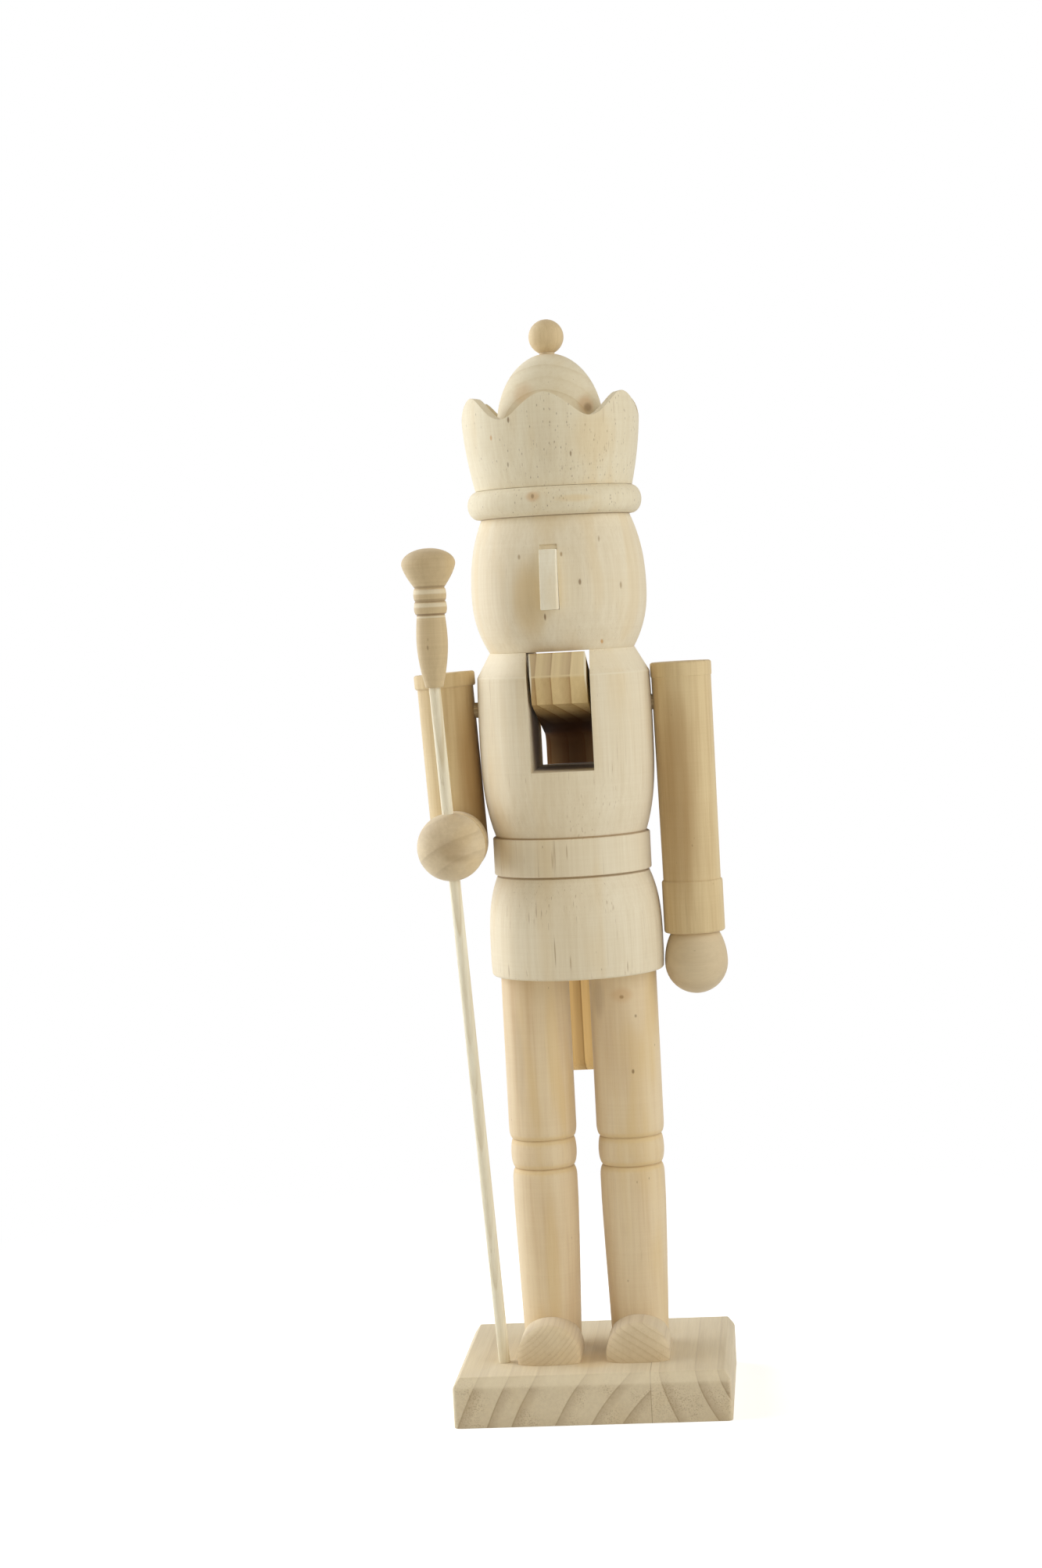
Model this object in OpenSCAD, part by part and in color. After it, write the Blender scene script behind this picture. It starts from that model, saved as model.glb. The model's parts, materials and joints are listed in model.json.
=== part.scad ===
// Unpainted wooden nutcracker: turned figure with a jaw lever, standing on a board.
// Millimetres. Origin at the middle of the board's underside, +Z up, the figure faces -Y.
// Left and right are the figure's own, so its left arm is on the +X side.

/* [Base board] */
// Width of the board, side to side
base_w = 88.4; // [70:0.1:120]
// Depth of the board, front to back
base_d = 77.4; // [64:0.1:110]
// Thickness of the board
base_h = 16; // [13:0.5:30]
// Width of the bevel round the top edge
base_bevel_w = 2.2; // [0.5:0.1:5]
// Height of that bevel
base_bevel_h = 3.2; // [0.5:0.1:8]
// Rounding of the board's upright corners
base_corner_r = 1.6; // [0.5:0.1:6]

/* [Feet] */
// Width of a foot
foot_w = 20.6; // [19.5:0.1:26]
// Height of a foot's half-round top
foot_h = 12.3; // [8:0.1:18]
// Reach of the toe in front of the leg's axis
toe_reach = 25; // [20:0.5:32]
// Length of the toe's rounded end
toe_round = 4.6; // [2:0.1:8]
// Distance from the leg's axis to the foot's heel face
heel_reach = 5; // [3:0.5:8]

/* [Legs] */
// Distance of each leg's axis from the middle
leg_x = 14.3; // [12.5:0.1:15.5]
// Height of a leg, board to skirt
leg_h = 123.8; // [90:0.1:160]
// Radius at the ankle
ankle_r = 9.1; // [6:0.1:11]
// Fullest radius of the shank
shank_r = 10.5; // [8:0.1:12]
// Height of the shank's fullest point
shank_full_h = 49; // [30:0.5:54]
// Height of the groove under the knee bead
knee_low_h = 60.3; // [56:0.1:64]
// Radius in the groove under the knee bead
knee_low_r = 9.3; // [7:0.1:10]
// Fullest radius of the knee bead
knee_r = 10.7; // [9:0.1:12]
// Height of the groove over the knee bead
knee_high_h = 69.8; // [66:0.1:80]
// Radius in the groove over the knee bead
knee_high_r = 9.8; // [7:0.1:10]
// Radius of the thigh
thigh_r = 11; // [9:0.1:12]
// Height of the rounding where the leg turns into a groove
knee_ease = 3.6; // [1:0.1:6]

/* [Body turning] */
// Fullest radius of the skirt
skirt_r = 28.1; // [27:0.1:29]
// Radius of the skirt under the belt
skirt_top_r = 24.8; // [22:0.1:26]
// Height of the skirt
skirt_h = 32.7; // [20:0.1:45]
// Height of the skirt's fullest point
skirt_full_h = 8.2; // [4:0.1:14]
// Radius of the skirt at its hem
skirt_hem_r = 27.9; // [26.5:0.1:29]
// Rounding of the skirt's lower edge
skirt_edge = 0.9; // [0.3:0.1:3]
// Radius of the belt
belt_r = 25.5; // [24.5:0.1:27]
// Height of the belt
belt_h = 12.1; // [6:0.1:20]
// Break of the belt's edges
belt_edge = 0.35; // [0.1:0.05:1]
// Depth and height of the groove under the belt
belt_groove = 0.7; // [0.3:0.1:2]
// Radius of the waist over the belt
waist_r = 24.4; // [22:0.1:26]
// Fullest radius of the torso
torso_r = 28.2; // [27:0.1:29]
// Height of the torso, belt to shoulder bevel
torso_h = 51.7; // [46:0.1:70]
// Height of the torso's fullest point over the belt
torso_full_h = 33; // [20:0.5:40]
// Radius where the torso meets the shoulder bevel
shoulder_r = 27.9; // [26:0.1:28]
// Height of the shoulder bevel
shoulder_h = 7.8; // [4:0.1:12]
// Radius of the neck on top of the shoulder bevel
neck_r = 23.5; // [22:0.1:25]

/* [Jaw slot] */
// Width of the slot sawn through the body
slot_w = 20.2; // [16:0.1:22]
// Depth of the slot below the neck
slot_depth = 38.1; // [34:0.1:44]

/* [Jaw lever] */
// Clearance on each side of the lever in its slot
jaw_side_gap = 1.15; // [0.4:0.05:2]
// Clearance between the lip and the head when the mouth is shut
jaw_shut_gap = 0.3; // [0.2:0.05:1]
// Reach of the lip in front of the body's axis
lip_reach = 26.3; // [24:0.1:32]
// Height of the upright face of the lip
lip_h = 7.4; // [4:0.1:10]
// Height of the sloping face of the chin
chin_h = 9; // [5:0.1:11]
// Set-back of the chin's lower edge behind the lip
chin_back = 4; // [0:0.1:8]
// Length of the steep nut seat behind the lip
seat_len = 17; // [10:0.5:24]
// Drop of the nut seat over that length
seat_drop = 5.6; // [3:0.1:8]
// Drop of the lever's top from the lip to where it leaves the body
top_drop = 15.5; // [12:0.1:18]
// Further drop of the lever's top across the tail
bend_drop = 2.5; // [0:0.1:6]
// Drop of the underside from the chin to where it leaves the body
under_drop = 12; // [8:0.1:14]
// Clearance between the torso's back and the hanging tail
tail_gap = 1.8; // [1:0.1:6]
// Thickness of the tail
tail_t = 12; // [8:0.1:18]
// Length of the tail below the slot's floor
tail_len = 104; // [60:0.5:130]
// Rounding of the lever's outer bend
bend_r = 10; // [4:0.5:11]
// Rounding of the lever's inner bend
crook_r = 5; // [2:0.5:8]
// Rounding of the tail's lower end
tail_end_r = 5; // [1:0.1:5.5]
// Set-back of the pivot behind the body's axis
pivot_back = 14; // [8:0.5:18]
// Drop of the pivot below the neck
pivot_drop = 19.2; // [17:0.1:22]
// Radius of the pivot pin
pivot_r = 2; // [1.5:0.1:2.5]
// Running clearance of the lever on its pin
pivot_run = 0.08; // [0.02:0.01:0.1]

/* [Head] */
// Radius of the head at the neck
head_low_r = 23.3; // [21:0.1:25]
// Fullest radius of the head
head_r = 28.3; // [26:0.1:30]
// Radius of the head under the hat
head_top_r = 23.9; // [22:0.1:26]
// Height of the head
head_h = 43.1; // [36:0.1:55]
// Height of the head's fullest point
head_full_h = 19.4; // [15:0.1:25]
// Turn of the head to its right, as it was glued on
head_turn = 1.8; // [0:0.1:4]

/* [Nose] */
// Width of the nose at its top
nose_top_w = 5.4; // [2:0.1:7]
// Width of the nose at its tip
nose_tip_w = 5.2; // [3:0.1:7]
// Height of the nose
nose_h = 19; // [10:0.5:24]
// Height of the nose's tip over the neck
nose_low_h = 13.2; // [8:0.1:16]
// Reach of the nose's top out of the head
nose_top_reach = 2.6; // [1:0.1:6]
// Reach of the nose's tip out of the head
nose_tip_reach = 6.6; // [3:0.1:10]
// Depth of the nose's slot in the head
nose_slot_depth = 6; // [3:0.5:10]
// Depth of the shallow rebate round the nose
nose_rebate = 0.5; // [0.2:0.1:1.5]
// Length of that rebate over the nose
nose_spare = 1.6; // [0.2:0.1:3]

/* [Hat] */
// Fullest radius of the brim
brim_r = 28.1; // [26:0.1:31]
// Radius of the brim's flat faces
brim_face_r = 24.7; // [23:0.1:25.5]
// Height of the brim
brim_h = 9.1; // [5:0.1:14]
// Radius of the crown's foot
crown_low_r = 25.3; // [23:0.1:27]
// Fullest radius of the crown
crown_r = 28.6; // [26.5:0.1:31]
// Radius of the crown at its peaks
crown_lip_r = 28; // [25:0.1:30]
// Height of the crown to its peaks
crown_h = 29.4; // [27:0.1:40]
// Height of the crown's fullest point
crown_full_h = 24; // [16:0.1:26]
// Count of peaks round the crown
crown_peaks = 6; // [4:2:8]
// Depth of the waves between the peaks
crown_wave = 7.9; // [3:0.1:9]
// Height of the crown's solid floor
crown_floor_h = 19.4; // [14:0.1:20]
// Thickness of the crown's wall at its peaks
crown_wall = 3.4; // [2:0.1:5]
// Radius of the dome's foot
dome_r = 17.3; // [12:0.1:20]
// Height of the dome
dome_h = 23.4; // [16:0.1:34]
// Radius of the flat on the dome's top
dome_flat_r = 3.4; // [3:0.1:6]
// Radius of the ball on top
ball_r = 5.65; // [4:0.05:9]
// Gap between the dome's flat top and the ball
ball_lift = 0.1; // [0.1:0.1:4]
// Radius of the ball's peg
finial_r = 2.5; // [1.5:0.1:2.8]

/* [Arms] */
// Radius of the collar on top of an arm
collar_r = 9.9; // [9.5:0.05:12]
// Height of that collar
collar_h = 4.8; // [2:0.1:8]
// Radius of a sleeve under its collar
sleeve_r = 9.65; // [8:0.05:9.75]
// Radius of the hanging sleeve over its cuff
sleeve_low_r = 9.3; // [7:0.05:9.75]
// Radius of a cuff
cuff_r = 9.85; // [8.5:0.05:12]
// Height of the hanging arm's cuff
cuff_h = 17; // [8:0.1:24]
// Rounding of the collars' and cuffs' edges
cuff_edge = 0.8; // [0.3:0.1:2]
// Length of the hanging arm, collar to cuff
arm_len = 87.6; // [70:0.1:110]
// Drop of the shoulder dowels below the neck
shoulder_drop = 18.1; // [16:0.1:24]
// Rise of an arm's top over its shoulder dowel
arm_rise = 12.6; // [10:0.1:15]
// Gap between the hanging arm and the body
left_arm_gap = 0.15; // [0.1:0.05:4]
// Lean of the hanging arm, top inwards, in degrees
left_lean = 0.3; // [0:0.1:1]
// Radius of the hanging hand
left_hand_r = 10.2; // [8.5:0.1:14]
// Length of a hand from its fullest point to its cuff
hand_rise = 9.9; // [7.5:0.1:12]
// Radius of the flats where the hands meet their cuffs
wrist_r = 7.7; // [5:0.1:8.3]

/* [Staff arm] */
// Radius of the bent arm's sleeve
bent_r = 9.1; // [7:0.1:9.4]
// Gap between the bent arm and the torso at the shoulder dowel
right_arm_gap = 0.95; // [0.95:0.05:5]
// Lean of the bent arm, top outwards, in degrees
right_lean = 2.6; // [0:0.1:2.6]
// Drop from the shoulder dowel to the elbow
elbow_drop = 42; // [30:0.5:60]
// Reach of the forearm from the elbow to the front of its cuff
forearm_len = 18.8; // [18:0.1:50]
// Length of the bent arm's cuff
bent_cuff_h = 8.6; // [4:0.1:10]
// Radius of the bent arm's cuff
bent_cuff_r = 10.2; // [9.2:0.1:12]
// Radius of the hand on the staff
right_hand_r = 10.8; // [9:0.1:14]

/* [Staff] */
// Radius of the staff's rod
staff_r = 1.8; // [1.2:0.1:3]
// Place of the staff's foot to the side of the middle
staff_foot_x = 29.1; // [27:0.1:36]
// Place of the staff's foot in front of the middle
staff_foot_y = 18; // [5:0.1:28]
// Length of bare staff from the board to the scepter
staff_len = 219.6; // [190:0.1:260]
// Radius of the scepter's lower end
grip_low_r = 2.8; // [2.4:0.1:5]
// Fullest radius of the scepter's grip
grip_r = 4.95; // [3.5:0.05:7]
// Radius of the scepter's grip under its rings
grip_top_r = 4.4; // [3:0.1:6]
// Height of the grip's fullest point
grip_full_h = 14.5; // [8:0.1:18]
// Height of the grip
grip_h = 23; // [20:0.1:30]
// Radius of the two rings
ring_r = 5.2; // [4.5:0.1:7]
// Height of one ring
ring_h = 4.1; // [2:0.1:6]
// Depth of the grooves beside the rings
ring_groove = 0.6; // [0.2:0.1:1.5]
// Fullest radius of the knob
knob_r = 8.5; // [6.5:0.1:12]
// Height of the knob's flare
knob_flare_h = 7.6; // [4:0.1:12]
// Height of the knob's rounded top
knob_top_h = 4.9; // [2:0.1:8]
// Radius of the flat on the knob's top
knob_flat_r = 1.5; // [1:0.1:6]
// Tilt of the scepter as glued to its rod, top towards the figure, in degrees
scepter_tilt = 3; // [0:0.1:4]

/* [Joinery] */
// Radius of the leg and hat dowels
dowel_r = 3; // [2:0.1:4]
// Radius of the neck and shoulder dowels
slim_dowel_r = 2.5; // [1.5:0.1:3]
// Radius of the wrist and elbow dowels
peg_r = 2.2; // [1.5:0.1:2.6]
// Depth of a dowel in each piece that it joins
dowel_depth = 11; // [8:0.5:12]
// Depth of a wrist dowel in the drilled hand
peg_depth = 4; // [2:0.1:4.4]
// Glue clearance of a dowel or strip in its hole
glue_gap = 0.04; // [0.02:0.01:0.1]
// Flutes round a dowel
dowel_flutes = 12; // [6:1:16]
// Radius of a dowel's flutes
flute_r = 0.3; // [0.1:0.05:0.4]

/* [Hidden] */

// Smoothness of round shapes and of curved outlines
round_fn = 96;
flute_fn = 24;
swell_steps = 12;
ease_steps = 6;
// Closest that two points of an outline may lie
least_step = 0.001;
// Overlap of a cutting shape past the face that it cuts
cut = 1;

// Powers of the turned swells: the higher, the later they draw in
shank_power = 1.2;
skirt_power = 3;
torso_power = 3;
head_power = 2.3;
crown_power = 1.7;
grip_power = 1.8;
knob_power = 1.45;
toe_power = 2.4;

// Heights of the stacked pieces
leg_z = base_h;
body_z = leg_z + leg_h;
belt_z = body_z + skirt_h;
torso_z = belt_z + belt_h;
shoulder_z = torso_z + torso_h;
neck_z = shoulder_z + shoulder_h;
brim_z = neck_z + head_h;
crown_z = brim_z + brim_h;
dome_z = crown_z + crown_floor_h;
ball_z = dome_z + dome_h + ball_lift + ball_r;
slot_z = neck_z - slot_depth;
dowel_z = neck_z - shoulder_drop;
pivot_z = neck_z - pivot_drop;

// Places worked out from the sizes above
neck_dowel_x = (slot_w / 2 + neck_r) / 2;
shoulder_depth = torso_r - slot_w / 2 - slim_dowel_r;
left_arm_x = left_arm_gap + max(
    torso_r + sleeve_r, shoulder_r + collar_r + arm_len * sin(left_lean), skirt_r + max(cuff_r, left_hand_r)
);
right_arm_x = torso_r + right_arm_gap + bent_r;
hand_reach = forearm_len + hand_rise;
jaw_w = slot_w - 2 * jaw_side_gap;
body_reach = max(torso_r, skirt_r);
tail_y = body_reach + tail_gap;

// Line of the staff, from its foot on the board through the hand
staff_foot = [-staff_foot_x, -staff_foot_y, base_h];
staff_hand = [
    -right_arm_x + elbow_drop * sin(right_lean), -hand_reach, dowel_z - elbow_drop * cos(right_lean)
];
staff_line = staff_hand - staff_foot;
staff_lean = acos(staff_line[2] / norm(staff_line));
staff_turn = atan2(staff_line[1], staff_line[0]);

// Colours of the bare woods
pale_wood = [0.89, 0.84, 0.73];
hat_wood = [0.87, 0.82, 0.70];
leg_wood = [0.86, 0.75, 0.59];
arm_wood = [0.77, 0.66, 0.48];
jaw_wood = [0.79, 0.68, 0.50];
base_wood = [0.88, 0.80, 0.66];
staff_wood = [0.88, 0.84, 0.68];
dowel_wood = [0.84, 0.76, 0.62];

// A swell in a turned outline, from its lower end over its fullest point to its upper end
function swell(low_r, full_r, high_r, low_z, full_z, high_z, power) = concat(
    [for (i = [swell_steps:-1:0]) let (u = i / swell_steps)
        [full_r - (full_r - low_r) * pow(u, power), full_z - (full_z - low_z) * u]],
    [for (i = [1:swell_steps]) let (u = i / swell_steps)
        [full_r - (full_r - high_r) * pow(u, power), full_z + (high_z - full_z) * u]]
);

// A quarter round that leaves a groove and ends upright
function round_out(from_r, to_r, from_z, to_z) = [
    for (i = [0:ease_steps]) let (a = 90 * i / ease_steps)
        [from_r + (to_r - from_r) * sin(a), from_z + (to_z - from_z) * (1 - cos(a))]
];

// A quarter round that starts upright and ends in a groove
function round_in(from_r, to_r, from_z, to_z) = [
    for (i = [0:ease_steps]) let (a = 90 * i / ease_steps)
        [to_r + (from_r - to_r) * cos(a), from_z + (to_z - from_z) * sin(a)]
];

// A turned outline closed along the axis, without doubled points
function closed(line) =
    let (path = concat([[0, line[0][1]]], line, [[0, line[len(line) - 1][1]]]))
    [for (i = [0:len(path) - 1]) if (i == 0 || norm(path[i] - path[max(i - 1, 0)]) > least_step) path[i]];

function unit(v) = v / norm(v);

// The arc that rounds corner b between its neighbours a and c
function corner_arc(a, b, c, r) =
    let (
        u = unit(a - b),
        v = unit(c - b),
        half = acos(u * v) / 2,
        middle = b + unit(u + v) * r / sin(half),
        start = b + u * r / tan(half) - middle,
        end = b + v * r / tan(half) - middle
    )
    [for (i = [0:ease_steps]) middle + r * unit(start * (1 - i / ease_steps) + end * i / ease_steps)];

// An outline of corners [x, y, rounding]; a rounding of 0 leaves the corner sharp
function rounded(corners) = [
    for (i = [0:len(corners) - 1])
        let (
            n = len(corners),
            p = corners[(i + n - 1) % n],
            q = corners[i],
            s = corners[(i + 1) % n]
        )
        each q[2] == 0 ? [[q[0], q[1]]] : corner_arc([p[0], p[1]], [q[0], q[1]], [s[0], s[1]], q[2])
];

// A piece turned on a lathe
module turned(line) {
    rotate_extrude($fn = round_fn) polygon(closed(line));
}

// A prism along X from an outline in Y and Z, centred on X = 0
module sideways(width) {
    translate([-width / 2, 0, 0]) rotate([90, 0, 90]) linear_extrude(width) children();
}

// A fluted dowel along +Z
module dowel(r, length) {
    linear_extrude(length) difference() {
        circle(r, $fn = round_fn);
        for (i = [0:dowel_flutes - 1])
            rotate(360 / dowel_flutes * i) translate([r, 0]) circle(flute_r, $fn = flute_fn);
    }
}

// The hole for a dowel, running past both of its ends by the glue clearance
module dowel_hole(r, length) {
    translate([0, 0, -glue_gap]) cylinder(r = r + glue_gap, h = length + 2 * glue_gap, $fn = round_fn);
}

module at_legs() {
    for (side = [-1, 1]) translate([side * leg_x, 0, 0]) children();
}

module at_cheeks() {
    for (side = [-1, 1]) translate([side * neck_dowel_x, 0, neck_z - dowel_depth]) children();
}

// The frame of the bent arm: origin at its shoulder dowel, +Z along the arm
module at_right_arm() {
    translate([-right_arm_x, 0, dowel_z]) rotate([0, -right_lean, 0]) children();
}

// The frame of the staff: origin at its foot, +Z along the rod
module along_staff() {
    translate(staff_foot) rotate([0, staff_lean, staff_turn]) children();
}

// Places of the dowels, used for the dowels and for their holes
module at_leg_base() {
    at_legs() translate([0, 0, leg_z - dowel_depth]) children();
}

module at_leg_body() {
    at_legs() translate([0, 0, body_z - dowel_depth]) children();
}

module at_hat_dowel() {
    translate([0, 0, brim_z - dowel_depth]) children();
}

module at_finial_pin() {
    translate([0, 0, dome_z + dome_h - dowel_depth]) children();
}

module at_left_shoulder() {
    translate([torso_r - shoulder_depth, 0, dowel_z]) rotate([0, 90, 0]) children();
}

module at_right_shoulder() {
    translate([shoulder_depth - torso_r, 0, dowel_z]) rotate([0, -90, 0]) children();
}

// The frame of the hanging arm: origin at the lower end of its cuff, +Z along the arm
module at_left_arm() {
    translate([left_arm_x, 0, dowel_z + arm_rise - arm_len]) rotate([0, -left_lean, 0]) children();
}

module at_left_wrist() {
    at_left_arm() translate([0, 0, -dowel_depth]) children();
}

module at_elbow() {
    at_right_arm() translate([0, 0, -elbow_drop]) children();
}

module at_right_wrist() {
    at_elbow() translate([0, -forearm_len - peg_depth, 0]) rotate([-90, 0, 0]) children();
}

module at_elbow_dowel() {
    at_elbow() rotate([-45, 0, 0]) translate([0, 0, -elbow_peg_depth]) children();
}

// Lengths of the dowels
hat_dowel_len = 2 * dowel_depth + brim_h + crown_floor_h;
finial_pin_len = dowel_depth + ball_lift + ball_r;
left_shoulder_len = shoulder_depth + left_arm_x - (arm_len - arm_rise) * tan(left_lean) - torso_r;
right_shoulder_len = shoulder_depth + right_arm_gap + bent_r;
left_wrist_len = 2 * dowel_depth;
elbow_peg_depth = bent_r - peg_r;
right_wrist_len = 2 * peg_depth;

module base() {
    color(base_wood) intersection() {
        translate([-base_w / 2, -base_d / 2, 0]) linear_extrude(base_h) polygon(rounded([
            [0, 0, base_corner_r],
            [base_w, 0, base_corner_r],
            [base_w, base_d, base_corner_r],
            [0, base_d, base_corner_r]
        ]));
        sideways(base_w + 2 * cut) bevelled(base_d);
        rotate(90) sideways(base_d + 2 * cut) bevelled(base_w);
        dowelled_block();
    }
}

// The board's end view, with its two bevels
module bevelled(width) {
    polygon([
        [-width / 2, 0],
        [width / 2, 0],
        [width / 2, base_h - base_bevel_h],
        [width / 2 - base_bevel_w, base_h],
        [base_bevel_w - width / 2, base_h],
        [-width / 2, base_h - base_bevel_h]
    ]);
}

// A block larger than the board, drilled for the leg dowels
module dowelled_block() {
    difference() {
        translate([-base_w, -base_d, 0]) cube([2 * base_w, 2 * base_d, base_h]);
        at_leg_base() dowel_hole(dowel_r, 2 * dowel_depth);
    }
}

// The turned outline of a toe block before it is sawn in half, from its heel face to its rounded end
toe_len = toe_reach - heel_reach;
toe_line = concat([[foot_w / 2, 0]], [
    for (i = [0:2 * ease_steps]) let (a = 90 * i / (2 * ease_steps), power = 2 / toe_power)
        [foot_w / 2 * pow(cos(a), power), toe_len - toe_round * (1 - pow(sin(a), power))]
]);

// A half-round toe block, coped round its leg
module foot() {
    difference() {
        intersection() {
            translate([0, -heel_reach, foot_h - foot_w / 2]) rotate([90, 0, 0]) turned(toe_line);
            translate([-foot_w, -2 * toe_reach, 0]) cube([2 * foot_w, 2 * toe_reach, 2 * foot_h]);
        }
        turned(leg_line(glue_gap));
    }
}

module foot_left() {
    color(leg_wood) translate([leg_x, 0, leg_z]) foot();
}

module foot_right() {
    color(leg_wood) translate([-leg_x, 0, leg_z]) foot();
}

// The turned outline of a leg; grow widens it for the cope in the foot
function leg_line(grow = 0) = [
    for (p = concat(
        swell(ankle_r, shank_r, shank_r, 0, shank_full_h, knee_low_h - knee_ease, shank_power),
        round_in(shank_r, knee_low_r, knee_low_h - knee_ease, knee_low_h),
        round_out(knee_low_r, knee_r, knee_low_h, (knee_low_h + knee_high_h) / 2),
        round_in(knee_r, knee_high_r, (knee_low_h + knee_high_h) / 2, knee_high_h),
        round_out(knee_high_r, thigh_r, knee_high_h, knee_high_h + knee_ease),
        [[thigh_r, leg_h]]
    )) [p[0] + grow, p[1]]
];

module leg() {
    difference() {
        translate([0, 0, leg_z]) turned(leg_line());
        translate([0, 0, leg_z - dowel_depth]) dowel_hole(dowel_r, 2 * dowel_depth);
        translate([0, 0, body_z - dowel_depth]) dowel_hole(dowel_r, 2 * dowel_depth);
    }
}

module leg_left() {
    color(leg_wood) translate([leg_x, 0, 0]) leg();
}

module leg_right() {
    color(leg_wood) translate([-leg_x, 0, 0]) leg();
}

module leg_base_dowels() {
    color(dowel_wood) at_leg_base() dowel(dowel_r, 2 * dowel_depth);
}

module leg_body_dowels() {
    color(dowel_wood) at_leg_body() dowel(dowel_r, 2 * dowel_depth);
}

// The turned outline of skirt, belt, torso and shoulder bevel
body_line = concat(
    round_out(skirt_hem_r - skirt_edge, skirt_hem_r, body_z, body_z + skirt_edge),
    swell(
        skirt_hem_r, skirt_r, skirt_top_r,
        body_z + skirt_edge, body_z + skirt_full_h, belt_z - belt_groove, skirt_power
    ),
    [
        [skirt_top_r - belt_groove, belt_z],
        [belt_r - belt_edge, belt_z],
        [belt_r, belt_z + belt_edge],
        [belt_r, torso_z - belt_edge],
        [belt_r - belt_edge, torso_z]
    ],
    swell(waist_r, torso_r, shoulder_r, torso_z, torso_z + torso_full_h, shoulder_z, torso_power),
    [[neck_r, neck_z]]
);

module body() {
    color(pale_wood) difference() {
        turned(body_line);
        translate([-slot_w / 2, -2 * body_reach, slot_z]) cube([slot_w, 4 * body_reach, slot_depth + cut]);
        at_leg_body() dowel_hole(dowel_r, 2 * dowel_depth);
        at_cheeks() dowel_hole(slim_dowel_r, 2 * dowel_depth);
        at_left_shoulder() dowel_hole(slim_dowel_r, left_shoulder_len);
        at_right_shoulder() dowel_hole(slim_dowel_r, right_shoulder_len);
        pivot_hole(pivot_r + glue_gap / 2, 4 * body_reach);
    }
}

// A round bore or pin across the slot on the pivot's line
module pivot_hole(r, length) {
    translate([-length / 2, pivot_back, pivot_z]) rotate([0, 90, 0])
        cylinder(r = r, h = length, $fn = round_fn);
}

module pivot_pin() {
    pin_len = 2 * sqrt(pow(shoulder_r, 2) - pow(pivot_back + pivot_r, 2));
    color(dowel_wood) pivot_hole(pivot_r, pin_len);
}

// The lever's side view: lip, chin, crook, hanging tail, bend and nut seat
lip_z = neck_z - jaw_shut_gap;
chin_z = lip_z - lip_h - chin_h;
jaw_line = rounded([
    [-lip_reach, lip_z, 0],
    [-lip_reach, lip_z - lip_h, 0],
    [chin_back - lip_reach, chin_z, 0],
    [tail_y, chin_z - under_drop, crook_r],
    [tail_y, slot_z - tail_len, tail_end_r],
    [tail_y + tail_t, slot_z - tail_len, tail_end_r],
    [tail_y + tail_t, lip_z - top_drop - bend_drop, bend_r],
    [tail_y, lip_z - top_drop, 0],
    [seat_len - lip_reach, lip_z - seat_drop, 0]
]);

module jaw_lever() {
    color(jaw_wood) difference() {
        sideways(jaw_w) polygon(jaw_line);
        pivot_hole(pivot_r + pivot_run, 2 * jaw_w);
    }
}

module neck_dowels() {
    color(dowel_wood) at_cheeks() dowel(slim_dowel_r, 2 * dowel_depth);
}

head_line = swell(head_low_r, head_r, head_top_r, neck_z, neck_z + head_full_h, brim_z, head_power);

// Depth of the nose's slot and the places of the nose's ends
nose_z = neck_z + nose_low_h;
nose_back_y = nose_slot_depth - head_r;

// Places the nose and its slot on the turned head
module at_face() {
    rotate([0, 0, -head_turn]) children();
}

module head() {
    color(pale_wood) difference() {
        turned(head_line);
        at_face() {
            translate([0, nose_back_y + glue_gap, 0]) nose_front(glue_gap);
            nose_step();
        }
        at_cheeks() dowel_hole(slim_dowel_r, 2 * dowel_depth);
        at_hat_dowel() dowel_hole(dowel_r, hat_dowel_len);
    }
}

// The shallow rebate round the nose, as deep all along the head's curve
module nose_step() {
    width = max(nose_top_w, nose_tip_w) + 2 * glue_gap;
    difference() {
        translate([-width / 2, -2 * head_r, nose_z - glue_gap])
            cube([width, 2 * head_r, nose_h + nose_spare + glue_gap]);
        turned([for (p = head_line) [p[0] - nose_rebate, p[1]]]);
    }
}

// A prism along Y with the nose's front view; grow widens it for its slot
module nose_front(grow = 0) {
    rotate([90, 0, 0]) linear_extrude(2 * head_r) polygon([
        [-nose_tip_w / 2 - grow, nose_z - grow],
        [nose_tip_w / 2 + grow, nose_z - grow],
        [nose_top_w / 2 + grow, nose_z + nose_h + grow],
        [-nose_top_w / 2 - grow, nose_z + nose_h + grow]
    ]);
}

module nose() {
    color(pale_wood) at_face() intersection() {
        sideways(2 * (nose_top_w + nose_tip_w)) polygon([
            [nose_back_y, nose_z],
            [nose_back_y, nose_z + nose_h],
            [-head_r - nose_top_reach, nose_z + nose_h],
            [-head_r - nose_tip_reach, nose_z]
        ]);
        nose_front();
    }
}

brim_line = concat(
    round_out(brim_face_r, brim_r, brim_z, brim_z + brim_h / 2),
    round_in(brim_r, brim_face_r, brim_z + brim_h / 2, crown_z)
);

module hat_brim() {
    color(hat_wood) difference() {
        turned(brim_line);
        at_hat_dowel() dowel_hole(dowel_r, hat_dowel_len);
    }
}

crown_line = concat(
    swell(
        crown_low_r, crown_r, crown_lip_r, crown_z, crown_z + crown_full_h, crown_z + crown_h, crown_power
    ),
    [[crown_lip_r - crown_wall, crown_z + crown_h], [crown_lip_r - crown_wall, dome_z]]
);

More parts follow.
